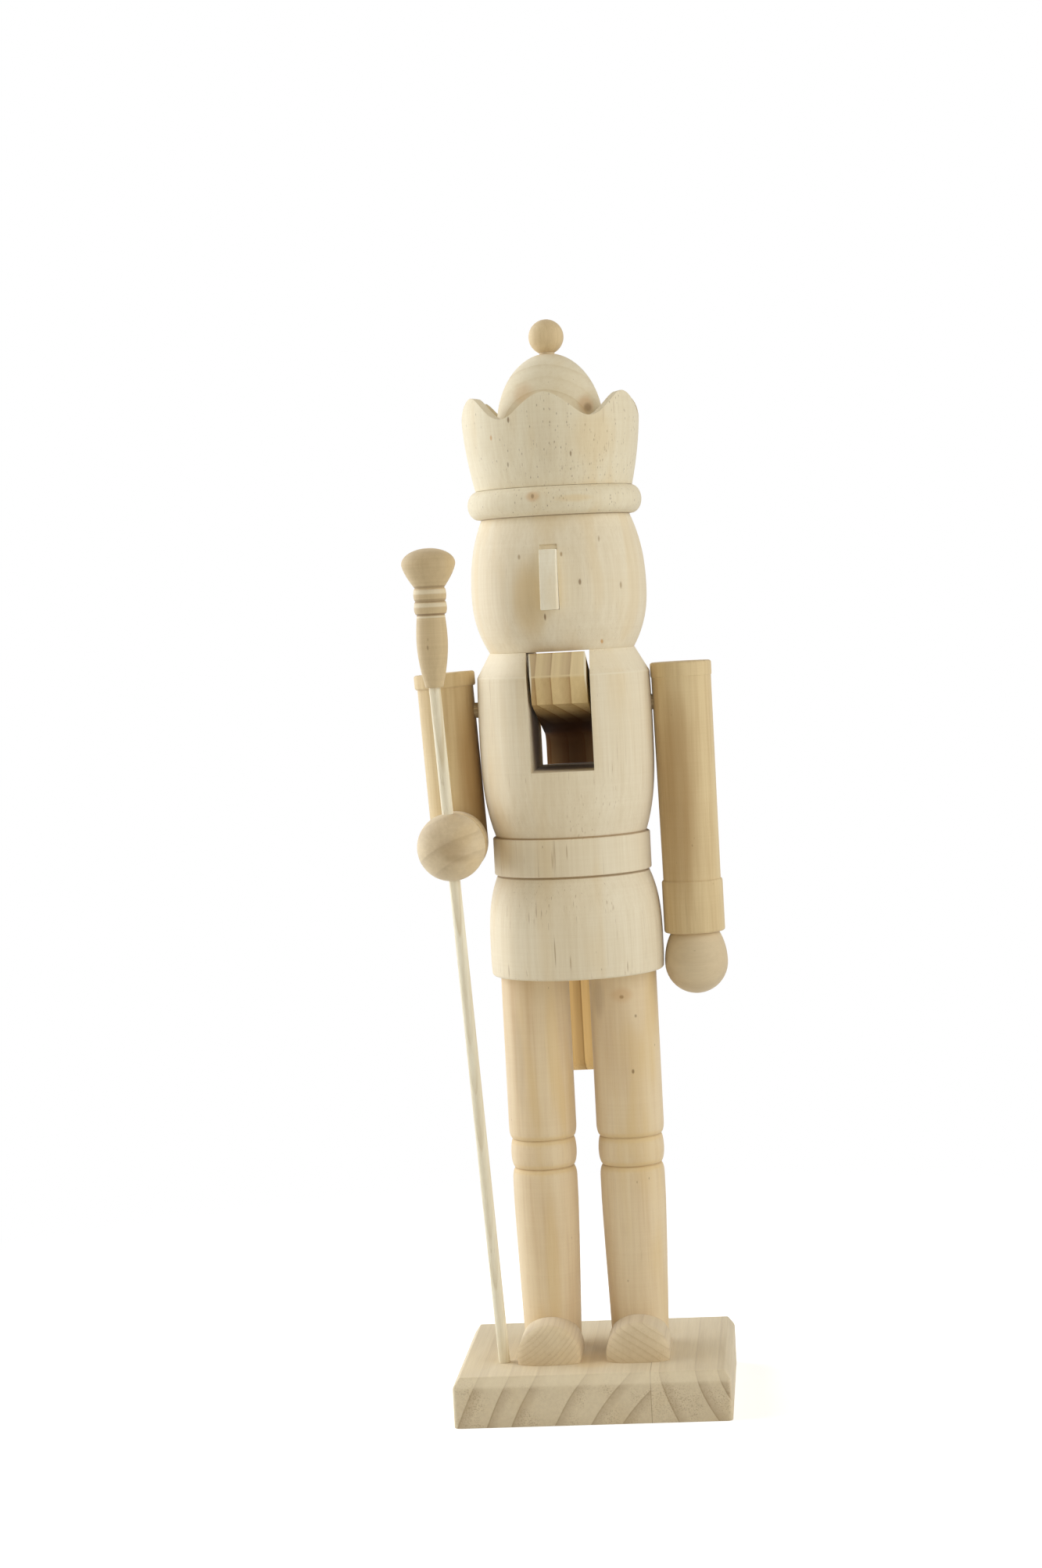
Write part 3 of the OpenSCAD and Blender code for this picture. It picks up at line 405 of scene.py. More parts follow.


# Painted shade: a soft warm band and a thin dark line in each knee groove
KNEE_GROOVES = [
    all_round(height, reach, colour, strength)
    for reach, colour, strength in ((2.2, "warm", 0.5), (0.6, "hair", 0.2))
    for height in (76.3, 85.8)
]
SCEPTER_AXIS = (-38, -36)
MARKS = {
    "base_board": [
        # Painted light: a paler band along the front bevel, which faces up
        Mark((0, -39, 14.2), (WHOLE, 8, 2.6), "board_early", 0.45),
        # Painted shade: a warm patch on the top between the feet
        Mark((0, -19, 16), (9, 15, 4), "warm", 0.45),
    ],
    "turned_brim": [
        Mark((-4.9, -27.5, 293.1), (3.0, 4, 2.2), "knot", 0.45),
        Mark((-4.9, -27.5, 293.2), (0.7, 3, 1.0), "fleck", 0.55),
        Mark((9, -27, 292), (9, 5, 1.6), "warm", 0.4),
    ],
    "hat_ball": [
        Mark((0, 0, 345), (12, 12, 12), "warm", 0.35, 0.9),
    ],
    "turned_dome": [
        Mark((-7, -13, 326), (5, 6, 5), "knot", 0.25),
        # Painted shade: a dark patch at the dome's right foot, where it meets the crown's dip
        Mark((12.6, -11, 322), (4.5, 5, 4), "knot", 0.4),
        Mark((13, -11, 321), (1.8, 5, 2), "fleck", 0.5),
    ],
    "turned_head": [
        # Painted shade: a dark line round the head under the brim, and a brownish patch left of the nose
        # where its shadow falls
        all_round(287.2, 0.5, "burnt", 0.45),
        Mark((-8, -28, 260), (8, 9, 18), "warm", 0.52),
        Mark((8.6, -27.2, 265.6), (0.6, 3, 1.3), "fleck", 0.75),
        Mark((14.2, -20.1, 246.5), (0.6, 3, 1.0), "knot", 0.8),
        Mark((-2.9, -28.2, 255.1), (0.5, 3, 1.5), "fleck", 0.85),
        Mark((3.2, -28.2, 274.6), (0.6, 3, 1.1), "hair", 0.7),
        Mark((-10.3, -26, 274.4), (0.6, 4, 1.1), "hair", 0.6),
        Mark((15, -24, 279), (0.5, 4, 1.6), "hair", 0.7),
        Mark((21, -18, 264), (0.5, 4, 1.6), "hair", 0.6),
    ],
    "sawn_crown": [
        Mark((7.7, -26.1, 305.9), (0.4, 4, 1.2), "fleck", 0.7),
        Mark((-11.4, -26.1, 317.5), (0.5, 4, 1.3), "fleck", 0.8),
        Mark((-17.5, -22.0, 312.4), (0.5, 4, 1.1), "knot", 0.7),
        Mark((-12.4, -25.0, 303.6), (0.4, 4, 1.2), "fleck", 0.6),
        Mark((0, -28, 309), (5, 6, 12), "hair", 0.08),
        Mark((15, -23, 311), (10, 12, 13), "warm", 0.28),
    ],
    "left_leg": [
        *KNEE_GROOVES,
        Mark((14.2, -11, 131.9), (1.0, 4, 0.8), "fleck", 0.7),
        Mark((14.2, -11, 132.5), (5.0, 6, 3.2), "knot", 0.3),
        Mark((16.7, -10.7, 107.6), (0.6, 4, 1.0), "fleck", 0.8),
        Mark((18.4, -10.0, 125.5), (0.5, 4, 0.7), "fleck", 0.6),
        # Painted shade: a faint dark patch on the leg's inner side under the skirt
        Mark((6.5, -8, 132), (3.0, 6, 9), "burnt", 0.2),
        Mark((13, -11, 118), (8, 10, 24), "leg_late", 0.15),
    ],
    "right_leg": [
        Mark((-12.5, -9, 44), (3.2, 8, 34), "warm", 0.4),
        Mark((-9, -9, 118), (3.0, 8, 26), "warm", 0.45),
        Mark((-20, -8, 112), (2.2, 8, 22), "hand_late", 0.2),
        *KNEE_GROOVES,
    ],
    "hanging_arm": [
        # Painted shade: the arm's side towards the body is darker
        Mark((36, -4, 196), (8, 20, 46), "arm_late", 0.52),
    ],
    "hanging_hand": [
        Mark((40, -8, 146), (13, 14, 13), "hand_early", 0.4, 0.8),
    ],
    "upper_arm": [
        # Painted shade: the arm's side towards the body is darker
        Mark((-29, -4, 208), (9, 20, 34), "arm_late", 0.75),
    ],
    "forearm": [
        Mark((-36, -19, 190), (14, 8, 12), "hand_early", 0.6),
    ],
    "staff_hand": [
        Mark((-35, -44, 184), (7, 12, 6), "hand_late", 0.4),
        Mark((-33, -44, 181), (8, 12, 2.2), "hand_late", 0.35),
    ],
    "scepter": [
        # Painted shade and light: dark lines in the grooves between the beads, and pale bands on the beads'
        # tops
        all_round(266.4, 0.5, "fleck", 0.45, SCEPTER_AXIS),
        all_round(264.9, 1.0, "staff_early", 0.4, SCEPTER_AXIS),
        all_round(262.1, 0.8, "fleck", 0.4, SCEPTER_AXIS),
        all_round(260.7, 0.9, "staff_early", 0.4, SCEPTER_AXIS),
        all_round(257.8, 0.45, "fleck", 0.7, SCEPTER_AXIS),
        all_round(257.0, 0.4, "staff_early", 0.4, SCEPTER_AXIS),
        Mark((-39.4, -35.5, 247.5), (0.5, 4, 1.3), "fleck", 0.8),
        Mark((-39.2, -35.5, 250.0), (0.35, 4, 0.8), "fleck", 0.6),
    ],
    "turned_body": [
        # Painted light: the shoulder bevel and its lower edge are made paler where they catch the light
        all_round(240.6, 5.0, "body_early", 0.5),
        all_round(236.3, 0.4, "body_early", 0.7),
        thin_line((-5.2, -28, 149), 6, 0.60),
        thin_line((-21, -20, 142.5), 3.4, 0.60),
        thin_line((-0.4, -28, 145.5), 3, 0.52),
        thin_line((17.3, -23, 142.8), 2.4, 0.52),
        thin_line((-10.7, -26, 162), 2.6, 0.45),
        thin_line((-13.2, -25, 160), 2.4, 0.38),
        thin_line((-4.8, -26, 178), 4, 0.52),
        thin_line((0, -26, 180.5), 3.2, 0.52),
        thin_line((-14, -24, 178), 2.8, 0.38),
        # Painted shade: dark lines at the belt's upper and lower edges
        all_round(184.8, 0.45, "hair", 0.7),
        all_round(172.2, 0.6, "hair", 0.6),
        Mark((10, -27, 136), (14, 8, 3), "warm", 0.3),
        # Painted shade: the middle of the body's front is made warmer and darker
        Mark((0, -28, 185), (18, 12, 62), "warm", 0.16, 0.2),
        # Painted shade: dark brown on the slot's walls and along the back edge of its floor
        Mark((0, 2, 222), (20, 24, 30), "burnt", 0.85, 0.6),
        Mark((0, 28, 206), (12, 10, 3), "burnt", 0.8),
    ],
    "sawn_jaw": [
        # Painted highlights: a pale line along the front crease, pale lines down both front edges, and a
        # paler upper face where it catches the light
        Mark((0, -26.3, 236.4), (WHOLE, 4, 0.4), "jaw_early", 0.6),
        Mark((-8.9, -27, 237), (0.7, 6, 12), "nose_early", 0.85),
        Mark((8.9, -27, 237), (0.7, 6, 12), "nose_early", 0.7),
        Mark((0, -26.3, 239.7), (WHOLE, 6, 4.2), "staff_early", 0.18, 0.8),
        # Painted shade: dark brown over the lever's crook and stem inside the slot
        Mark((0, 13, 219.2), (WHOLE, 29, 14), "burnt", 0.85, 0.3, True),
        Mark((0, 20, 207), (WHOLE, 21, 20), "burnt", 0.9, 0.75, True),
    ],
}


class Timber:
    """Builds the nodes of one piece's bare wood."""

    def __init__(self, name, woods, colours, wood, cut):
        self.woods = woods
        self.wood = wood
        self.cut = cut
        self.early = getattr(woods, colours + "_early")
        self.late = getattr(woods, colours + "_late")
        self.material = bpy.data.materials.new(name)
        self.material.use_nodes = True
        self.tree = self.material.node_tree
        self.start = Wire(self.tree)
        self.object_place = self.start.node("TexCoord", output="Object")
        self.normal = self.object_place.also("Normal")
        inputs = {"Vector": self.object_place, "Scale": 1 / MM}
        self.place = self.start.node("VectorMath", {"operation": "SCALE"}, inputs)
        self.across = self.start.node("SeparateXYZ", None, {"Vector": self.place}, "X")
        self.height = self.across.also("Z")
        self.grain = self.along_grain(cut)
        self.streak = self.grain.noise(STREAKS)
        self.fibre = self.grain.noise(FIBRES)
        self.lathe = self.place.noise(LATHE_LINES) if wood.lathe > 0 else None
        self.fleck = self.flecks() if wood.flecks > 0 else None
        self.end = self.end_grain()
        self.pit = self.pits()

    def along_grain(self, cut):
        """Places in millimetres from the pith, with the grain upright."""
        first, second = cut.pith
        shift = {"X": (second, -first), "Y": (-first, second), "Z": (-first, -second)}[cut.axis]
        grain = self.start.node("Mapping", None, {
            "Vector": self.place, "Location": (*shift, 0), "Rotation": GRAIN_TURNS[cut.axis],
        })
        if cut.lean is None:
            return grain
        low, slope = cut.lean
        above = self.height - low
        aside = above.math("MAXIMUM", above, 0.0) * -slope
        return grain.vector("ADD", grain, grain.node("CombineXYZ", None, {"X": aside}))

    def rings(self, cut):
        """Darkness of the late wood in the growth rings of one cut."""
        grain = self.along_grain(cut)
        wander = grain.noise(RING_WANDER, "Color")
        wander = wander.vector("SUBTRACT", wander, (NOISE_MEAN, NOISE_MEAN, NOISE_MEAN))
        wander = wander.vector("MULTIPLY", wander, (cut.wander, cut.wander, 0.0))
        bent = grain.vector("ADD", grain, wander)
        bent = bent.vector("MULTIPLY", bent, (1.0, 1.0, 0.0))
        radius = bent.vector("LENGTH", bent, output="Value")
        if isinstance(cut.ring, tuple):
            return self.known_rings(radius, cut.ring)
        return self.even_rings(radius / cut.ring)

    def known_rings(self, radius, rings):
        """Darkness of rings whose radii are given."""
        inside, outside = RING_MARGINS
        low = min(rings) - inside
        span = max(rings) + outside - low
        stops = [((ring + reach - low) / span, dark) for ring in rings for reach, dark in RING_DARKENING]
        return radius.node("ValToRGB", {"stops": stops}, {"Fac": (radius - low) / span})

    def even_rings(self, years):
        """Darkness of rings of about one width, at a place given in years."""
        line = {"noise_dimensions": "1D"}
        spacing = years.node("TexNoise", line, {"W": years * YEAR_CHANGE, "Scale": 1.0, "Detail": 1.0})
        years = years + spacing * YEAR_SPREAD
        vigour = years.node("TexWhiteNoise", line, {"W": years.math("FLOOR", years)})
        growth = years.math("FRACT", years)
        late = growth.node("ValToRGB", {"stops": YEAR_DARKENING}, {"Fac": growth})
        return late * (vigour * (1 - FAINTEST_YEAR) + FAINTEST_YEAR)

    def flecks(self):
        """Tiny flecks along the grain, in upright rows that are thicker on the figure's left."""
        cells = self.grain.vector("MULTIPLY", self.grain, FLECK_CELLS)
        distance = self.start.node("TexVoronoi", None, {"Vector": cells, "Scale": 1.0})
        chance = self.start.node("SeparateColor", None, {"Color": distance.also("Color")})
        thick = self.across.step(*FLECK_SIDE) * (1 - FEWEST_ROWS) + FEWEST_ROWS
        rows = self.grain.noise(FLECK_ROWS) * thick
        return (chance < self.wood.flecks * (rows + STRAY_FLECKS)) * (1 - distance.step(*FLECK_SIZE))

    def end_grain(self):
        """How squarely a face cuts across the grain."""
        normal = self.start.node("Mapping", {"vector_type": "NORMAL"}, {
            "Vector": self.normal, "Rotation": GRAIN_TURNS[self.cut.axis],
        })
        return abs(self.start.node("SeparateXYZ", None, {"Vector": normal}, "Z")).step(*END_GRAIN)

    def pits(self):
        """Small pits in patches of the end grain."""
        patches = self.end * self.grain.noise(PIT_PATCHES)
        return patches * self.wood.pits * (1 - self.grain.noise(SOUND_WOOD))

    def tone(self, seam):
        """How far the wood goes from its early colour to its late one."""
        late = self.rings(self.cut)
        shown = self.wood.rings
        if seam is not None:
            late = late + (self.across > seam.place) * (self.rings(seam.cut) - late)
            shown = shown * (self.end * (1 - SIDE_RINGS) + SIDE_RINGS)
        tone = late * shown
        for noise, strength in (
            (self.streak, self.wood.streaks),
            (self.fibre, self.wood.streaks * FIBRE_SHARE),
            (self.grain.noise(BANDS), self.wood.bands),
            (self.grain.noise(PATCHES), self.wood.patches),
        ):
            tone = tone + (noise - NOISE_MEAN) * strength
        tone = tone + MEAN_TONE
        if self.lathe is not None:
            tone = tone + (self.lathe - NOISE_MEAN) * self.wood.lathe
        return tone

    def colour(self, seam, tail):
        """The wood's colour with all that grows in it."""
        early = self.early
        # Painted light: the lever's hanging end turns lighter towards its bottom
        if tail is not None:
            early = (1 - self.height.step(*tail)).mix(early, self.woods.tail_painted_light)
        colour = self.tone(seam).mix(early, self.late)
        colour = (self.grain.noise(WARM_PATCHES) * self.wood.warmth).mix(colour, self.woods.warm)
        if self.wood.hairs > 0:
            hair = self.grain.noise(HAIR_LINES) * self.grain.noise(HAIR_PATCHES)
            colour = (hair * self.wood.hairs).mix(colour, self.woods.hair)
        if self.fleck is not None:
            colour = (self.fleck * FLECK_DARKNESS).mix(colour, self.woods.fleck)
        colour = (self.pit * PIT_DARKNESS + self.end * END_DARKNESS).mix(colour, self.late)
        if seam is not None:
            glue = 1 - abs(self.across - seam.place).step(*GLUE_LINE)
            colour = (glue * GLUE_DARKNESS).mix(colour, self.late)
        return colour

    def marked(self, colour, marks):
        """Puts the placed marks on a colour."""
        for mark in marks:
            away = self.place.vector("SUBTRACT", self.place, mark.place)
            away = away.vector("DIVIDE", away, mark.reach)
            away = away.vector("LENGTH", away, output="Value")
            spot = (1 - away.step(mark.fade, 1.0)) * mark.strength
            if mark.clean_sides:
                side = self.start.node("SeparateXYZ", None, {"Vector": self.normal}, "X")
                spot = spot * (1 - abs(side))
            colour = spot.mix(colour, getattr(self.woods, mark.colour))
        return colour

    def relief(self):
        """Height of the surface as the grain and the tools have left it."""
        relief = self.streak * STREAK_RELIEF + self.fibre * FIBRE_RELIEF
        if self.fleck is not None:
            relief = relief - self.fleck * FLECK_RELIEF
        relief = relief - self.pit * PIT_RELIEF
        if self.lathe is not None:
            relief = relief + self.lathe * (LATHE_RELIEF * self.wood.lathe)
        return relief

    def build(self, marks=(), seam=None, tail=None):
        """Joins colour, roughness and relief in the shader, and gives back the material."""
        shader = self.tree.nodes["Principled BSDF"]
        shader.inputs["Specular IOR Level"].default_value = SPECULAR
        shader.inputs["Sheen Weight"].default_value = self.wood.sheen
        bump = self.start.node("Bump", None, {
            "Strength": RELIEF_STRENGTH, "Distance": RELIEF_HEIGHT, "Height": self.relief(),
        })
        for name, wire in {
            "Base Color": self.marked(self.colour(seam, tail), marks),
            "Roughness": ROUGHNESS + (self.fibre - NOISE_MEAN) * FIBRE_ROUGHNESS + self.end * END_ROUGHNESS,
            "Normal": bump,
        }.items():
            self.tree.links.new(wire.socket, shader.inputs[name])
        return self.material


# A shown piece: its name, the solid that it replaces, its wood, the first word of its colours, the size
# that rounds its edges, its cut, and the body that it rides on
Piece = namedtuple("Piece", "name node wood colours edge cut body", defaults=("figure",))
# Distance within which points are one, angle within which faces are one flat, and steps of a rounding
SAME_POINT = 0.002 * MM
FLAT_ANGLE = math.radians(0.4)
EASING_STEPS = 3


def eased_copy(piece, edge, crease):
    """A copy of a solid with its seams merged, its flats joined and its edges rounded."""
    bpy.ops.object.select_all(action="DESELECT")
    made = bpy.data.objects.new(piece.name, frame["nodes"][piece.node].data.copy())
    bpy.context.scene.collection.objects.link(made)
    made.select_set(True)
    bpy.context.view_layer.objects.active = made
    bpy.ops.mesh.customdata_custom_splitnormals_clear()
    bpy.ops.object.mode_set(mode="EDIT")
    bpy.ops.mesh.select_all(action="SELECT")
    bpy.ops.mesh.remove_doubles(threshold=SAME_POINT)
    bpy.ops.mesh.dissolve_limited(angle_limit=FLAT_ANGLE)
    bpy.ops.object.mode_set(mode="OBJECT")
    if edge > 0:
        easing = made.modifiers.new("eased_edges", "BEVEL")
        easing.limit_method = "ANGLE"
        easing.angle_limit = crease
        easing.width = edge
        easing.segments = EASING_STEPS
        easing.use_clamp_overlap = True
        bpy.ops.object.modifier_apply(modifier=easing.name)
    bpy.ops.object.shade_smooth_by_angle(angle=crease)
    return made


def dress(context, *pieces, **figure):
    """Makes the eased copies of some solids and gives each its own wood."""
    woods = context.scene.nutcracker_woods
    sizes = context.scene.nutcracker_sizes
    for piece in pieces:
        made = eased_copy(piece, getattr(sizes, piece.edge), sizes.crease)
        timber = Timber(piece.name + "_wood", woods, piece.colours, piece.wood, piece.cut)
        made.data.materials.clear()
        made.data.materials.append(timber.build(MARKS.get(piece.name, ()), **figure))
        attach(made, piece.body)
        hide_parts(piece.node)


class NUTCRACKER_OT_board(bpy.types.Operator):
    """Base board of two glued softwoods, end grain to the front"""

    bl_idname = "nutcracker.board"
    bl_label = "Base Board"

    cut = Cut("Y", (57, -35), (59.4, 67.8, 77.7, 90.1, 97.4, 105.9), 1.6)
    seam = Seam(18.7, Cut("Y", (80, 27), (41.6, 48.5, 59.6), 1.6))

    def execute(self, context):
        dress(context, Piece("base_board", "base", BOARD, "board", "board_edge", self.cut), seam=self.seam)
        return {"FINISHED"}


class NUTCRACKER_OT_legs(bpy.types.Operator):
    """Turned legs and half-round toe blocks"""

    bl_idname = "nutcracker.legs"
    bl_label = "Legs and Feet"

    def execute(self, context):
        dress(
            context,
            Piece("left_leg", "leg_left", LEG, "leg", "leg_edge", Cut("Z", (70, 20), 4.4)),
            Piece("right_leg", "leg_right", LEG, "leg", "leg_edge", Cut("Z", (-80, 30), 4.0)),
            Piece("left_toe", "foot_left", TOE, "foot", "foot_edge", Cut("Y", (-20, -30), 2.1, 1.5)),
            Piece("right_toe", "foot_right", TOE, "foot", "foot_edge", Cut("Y", (-42, 52), 1.5, 1.5)),
        )
        return {"FINISHED"}


class NUTCRACKER_OT_body(bpy.types.Operator):
    """Body turned in one piece and sawn for the jaw"""

    bl_idname = "nutcracker.body"
    bl_label = "Body"

    def execute(self, context):
        dress(context, Piece("turned_body", "body", TURNED, "body", "slot_edge", Cut("Z", (130, 40), 5)))
        return {"FINISHED"}


class NUTCRACKER_OT_jaw(bpy.types.Operator):
    """Jaw lever sawn from one softwood board"""

    bl_idname = "nutcracker.jaw"
    bl_label = "Jaw Lever"

    cut = Cut("Z", (-386.65, 88.5), (378.2, 383.8, 389.6, 395.1, 400, 405.8), 1.0, (226, 0.135))
    # Heights in millimetres between which the painted light on the lever's hanging end goes over into the
    # lever's own colour
    tail = (130, 200)

    def execute(self, context):
        lever = Piece("sawn_jaw", "jaw_lever", PINE, "jaw", "jaw_edge", self.cut, "jaw")
        dress(context, lever, tail=self.tail)
        return {"FINISHED"}


class NUTCRACKER_OT_head(bpy.types.Operator):
    """Turned head with the nose let into it"""

    bl_idname = "nutcracker.head"
    bl_label = "Head and Nose"

    def execute(self, context):
        dress(
            context,
            Piece("turned_head", "head", HEAD, "body", "head_edge", Cut("Z", (120, 60), 5)),
            Piece("nose_strip", "nose", HEAD, "nose", "nose_edge", Cut("Z", (60, -10), 3)),
        )
        return {"FINISHED"}


class NUTCRACKER_OT_hat(bpy.types.Operator):
    """Brim, sawn crown, dome and ball of the hat"""

    bl_idname = "nutcracker.hat"
    bl_label = "Hat"

    def execute(self, context):
        dress(
            context,
            Piece("turned_brim", "hat_brim", HAT, "hat", "turned_edge", Cut("Z", (110, 50), 5)),
            Piece("sawn_crown", "crown", HAT, "hat", "crown_edge", Cut("Z", (110, 48), 5)),
            Piece("turned_dome", "hat_dome", DOME, "hat", "turned_edge", Cut("Y", (-0.5, 312), 4.2, 2.5)),
            Piece("hat_ball", "finial_ball", FINIAL, "hand", "turned_edge", Cut("Z", (30, 14), 3)),
        )
        return {"FINISHED"}


class NUTCRACKER_OT_left_arm(bpy.types.Operator):
    """Hanging arm and its hand"""

    bl_idname = "nutcracker.left_arm"
    bl_label = "Hanging Arm"

    def execute(self, context):
        dress(
            context,
            Piece("hanging_arm", "left_arm", ARM, "arm", "turned_edge", Cut("Z", (110, 16), 4.4)),
            Piece("hanging_hand", "left_hand", BALL, "hand", "turned_edge", Cut("X", (20, 118), 4)),
        )
        return {"FINISHED"}


class NUTCRACKER_OT_right_arm(bpy.types.Operator):
    """Bent arm, mitred at the elbow, and the hand on the staff"""

    bl_idname = "nutcracker.right_arm"
    bl_label = "Staff Arm"

    def execute(self, context):
        dress(
            context,
            Piece("upper_arm", "right_upper_arm", ARM, "arm", "turned_edge", Cut("Z", (-110, 20), 4.4)),
            Piece("forearm", "right_forearm", ARM, "arm", "turned_edge", Cut("Y", (-20, 130), 4.4)),
            Piece("staff_hand", "right_hand", HAND, "hand", "turned_edge", Cut("Y", (-18, 148), 6.5)),
        )
        return {"FINISHED"}


class NUTCRACKER_OT_staff(bpy.types.Operator):
    """Round staff with its turned scepter head"""

    bl_idname = "nutcracker.staff"
    bl_label = "Staff"

    def execute(self, context):
        dress(
            context,
            Piece("staff_rod", "staff", ROD, "staff", "turned_edge", Cut("Z", (-33, -60), 1.6)),
            Piece("scepter", "scepter_head", KNOB, "scepter", "turned_edge", Cut("Z", (-90, -30), 3.4)),
        )
        return {"FINISHED"}


class NUTCRACKER_OT_dowels(bpy.types.Operator):
    """Dowels and pins that hold the pieces together"""

    bl_idname = "nutcracker.dowels"
    bl_label = "Dowels and Pins"

    cut = Cut("Z", (20, 20), 1.8)

    def execute(self, context):
        woods = context.scene.nutcracker_woods
        material = Timber("dowel_wood_grain", woods, "dowel", HAND, self.cut).build()
        for node, slot in SLOTS.items():
            if slot == "dowel_wood":
                solid = frame["nodes"][node]
                solid.data.materials.clear()
                solid.data.materials.append(material)
        return {"FINISHED"}


class NUTCRACKER_OT_stage(bpy.types.Operator):
    """Camera, white floor and soft studio light"""

    bl_idname = "nutcracker.stage"
    bl_label = "Stage"

    # Sizes and places in metres
    floor_size = 6.0
    shadow_reach = (0.12, 0.4)
    lamp_size = (1.5, 1.5)
    side_lamp = (-1.07, 0.2, 0.5)
    front_lamp = (1.0, -0.54, 0.6)
    aim = Vector((0, 0, 0.19))
    floor_colour = (0.8, 0.8, 0.79, 1)
    floor_roughness = 0.9

    def execute(self, context):
        stage = context.scene.nutcracker_stage
        self.add_camera(context, stage)
        self.add_lamp(context, "side_softbox", self.side_lamp, stage.side_light, stage.side_tint)
        self.add_lamp(context, "front_softbox", self.front_lamp, stage.front_light, stage.front_tint)
        self.add_floor(stage)
        self.add_surround(context, stage)
        context.scene.view_settings.view_transform = "Standard"
        return {"FINISHED"}

    def add_camera(self, context, stage):
        """Stands the camera where the picture was taken from."""
        turn = Matrix.Rotation(stage.turn, 3, "Z")
        place = turn @ Vector((-stage.side, -stage.distance, stage.height))
        heading = stage.yaw + stage.turn
        forward = Vector((-math.sin(heading), math.cos(heading), 0)) * math.cos(stage.pitch)
        forward.z = -math.sin(stage.pitch)
        level = Vector((math.cos(heading), math.sin(heading), 0))
        upright = level.cross(forward)
        right = level * math.cos(stage.roll) - upright * math.sin(stage.roll)
        up = level * math.sin(stage.roll) + upright * math.cos(stage.roll)
        axes = Matrix((right, up, -forward)).transposed().to_4x4()
        data = bpy.data.cameras.new("camera")
        data.lens = stage.focal_px / max(IMAGE_W, IMAGE_H) * data.sensor_width
        camera = bpy.data.objects.new("camera", data)
        camera.matrix_world = Matrix.Translation(place) @ axes
        context.scene.collection.objects.link(camera)
        context.scene.camera = camera

    def add_lamp(self, context, name, place, power, colour):
        """Hangs one soft box and aims it at the middle of the figure."""
        data = bpy.data.lights.new(name, "AREA")
        data.shape = "RECTANGLE"
        data.size, data.size_y = self.lamp_size
        data.energy = power
        data.color = colour
        lamp = bpy.data.objects.new(name, data)
        lamp.location = place
        lamp.rotation_euler = (self.aim - lamp.location).to_track_quat("-Z", "Y").to_euler()
        context.scene.collection.objects.link(lamp)

    def in_view(self, start):
        """1 on what the camera sees, by itself or in a shine or through glass, and 0 for other light."""
        path = start.node("LightPath", output="Is Camera Ray")
        seen = path + path.also("Is Glossy Ray") + path.also("Is Transmission Ray")
        return seen.math("MINIMUM", seen, 1.0)

    def add_floor(self, stage):
        """Lays a pale floor that the camera sees as white, with the figure's shadow left on it."""
        bpy.ops.object.select_all(action="DESELECT")
        bpy.ops.mesh.primitive_plane_add(size=self.floor_size)
        floor = bpy.context.view_layer.objects.active
        floor.name = "floor"
        material = bpy.data.materials.new("pale_floor")
        material.use_nodes = True
        tree = material.node_tree
        start = Wire(tree)
        shader = tree.nodes["Principled BSDF"]
        shader.inputs["Base Color"].default_value = self.floor_colour
        shader.inputs["Roughness"].default_value = self.floor_roughness
        seen = self.in_view(start)
        pale = Wire(tree, shader.outputs["BSDF"])
        glow = start.node("Emission", None, {"Color": (*WHITE, 1), "Strength": stage.floor_glow})
        lit = start.node("AddShader", None, {0: pale, 1: glow})
        near = start.node("MixShader", None, {0: seen, 1: pale, 2: lit})
        white = start.node("Emission", None, {"Color": (*WHITE, 1), "Strength": 1.0})
        away = start.node("TexCoord", output="Object")
        away = away.vector("LENGTH", away, output="Value")
        shown = start.node("MixShader", None, {0: seen * away.step(*self.shadow_reach), 1: near, 2: white})
        tree.links.new(shown.socket, tree.nodes["Material Output"].inputs["Surface"])
        floor.data.materials.append(material)

    def add_surround(self, context, stage):
        """Sets a white surround that lights the figure less than it shows."""
        world = bpy.data.worlds.new("white_surround")
        world.use_nodes = True
        context.scene.world = world
        tree = world.node_tree
        seen = self.in_view(Wire(tree))
        background = tree.nodes["Background"]
        tree.links.new(seen.mix(stage.ambient_tint, WHITE).socket, background.inputs["Color"])
        tree.links.new((stage.ambient + seen * (1.0 - stage.ambient)).socket, background.inputs["Strength"])


class NUTCRACKER_PT_panel(bpy.types.Panel):
    """Buttons for the nutcracker's pieces and stage"""

    bl_idname = "NUTCRACKER_PT_panel"
    bl_label = "Nutcracker"
    bl_space_type = "VIEW_3D"
    bl_region_type = "UI"
    bl_category = "Nutcracker"

    def draw(self, context):
        for operator in OPERATORS:
            self.layout.operator(operator.bl_idname)
        for name, group in GROUPS.items():
            box = self.layout.box()
            for setting in group.__annotations__:
                box.prop(getattr(context.scene, name), setting)


GROUPS = {
    "nutcracker_sizes": NutcrackerSizes,
    "nutcracker_woods": NutcrackerWoods,
    "nutcracker_stage": NutcrackerStage,
}
OPERATORS = (
    NUTCRACKER_OT_stage,
    NUTCRACKER_OT_board,
    NUTCRACKER_OT_legs,
    NUTCRACKER_OT_body,
    NUTCRACKER_OT_jaw,
    NUTCRACKER_OT_head,
    NUTCRACKER_OT_hat,
    NUTCRACKER_OT_left_arm,
    NUTCRACKER_OT_right_arm,
    NUTCRACKER_OT_staff,
    NUTCRACKER_OT_dowels,
)
CLASSES = (*GROUPS.values(), *OPERATORS, NUTCRACKER_PT_panel)


def register():
    """Makes the settings, operators and panel known to Blender."""
    for cls in CLASSES:
        bpy.utils.register_class(cls)
    for name, group in GROUPS.items():
        setattr(bpy.types.Scene, name, bpy.props.PointerProperty(type=group))


def unregister():
    """Takes the settings, operators and panel away again."""
    for name in GROUPS:
        delattr(bpy.types.Scene, name)
    for cls in reversed(CLASSES):
        bpy.utils.unregister_class(cls)


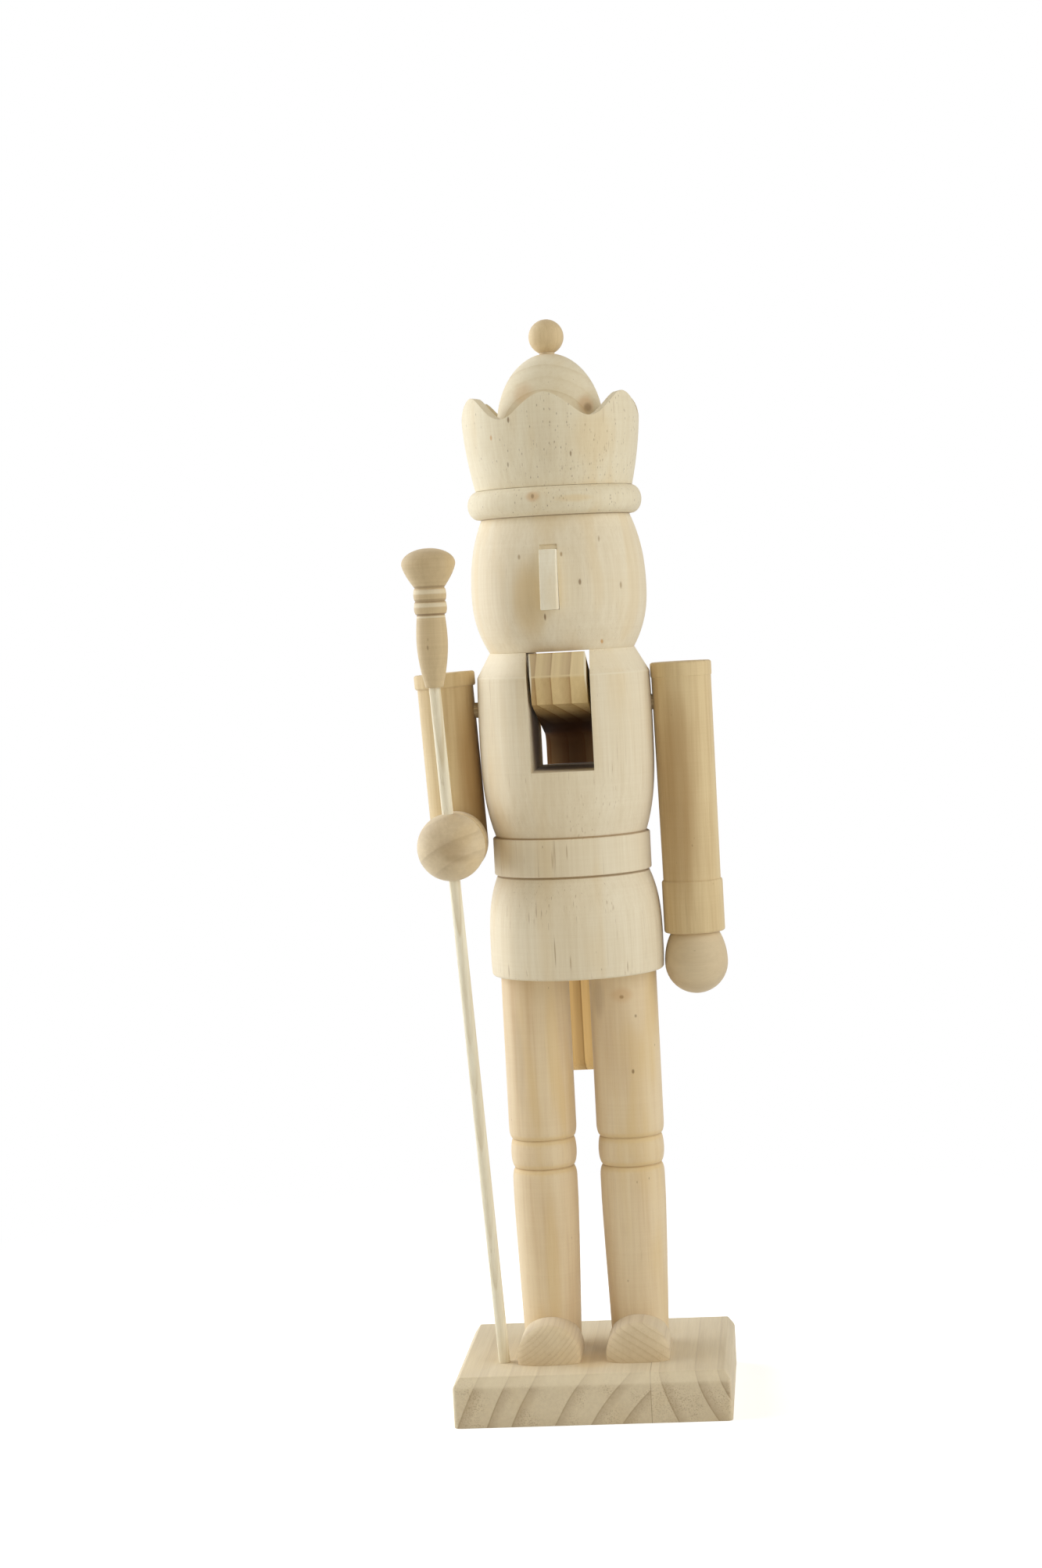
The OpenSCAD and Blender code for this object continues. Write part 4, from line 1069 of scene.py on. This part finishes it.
def main():
    """Runs the operators in order."""
    register()
    for operator in OPERATORS:
        group, name = operator.bl_idname.split(".")
        getattr(getattr(bpy.ops, group), name)()


if __name__ == "__main__":
    main()
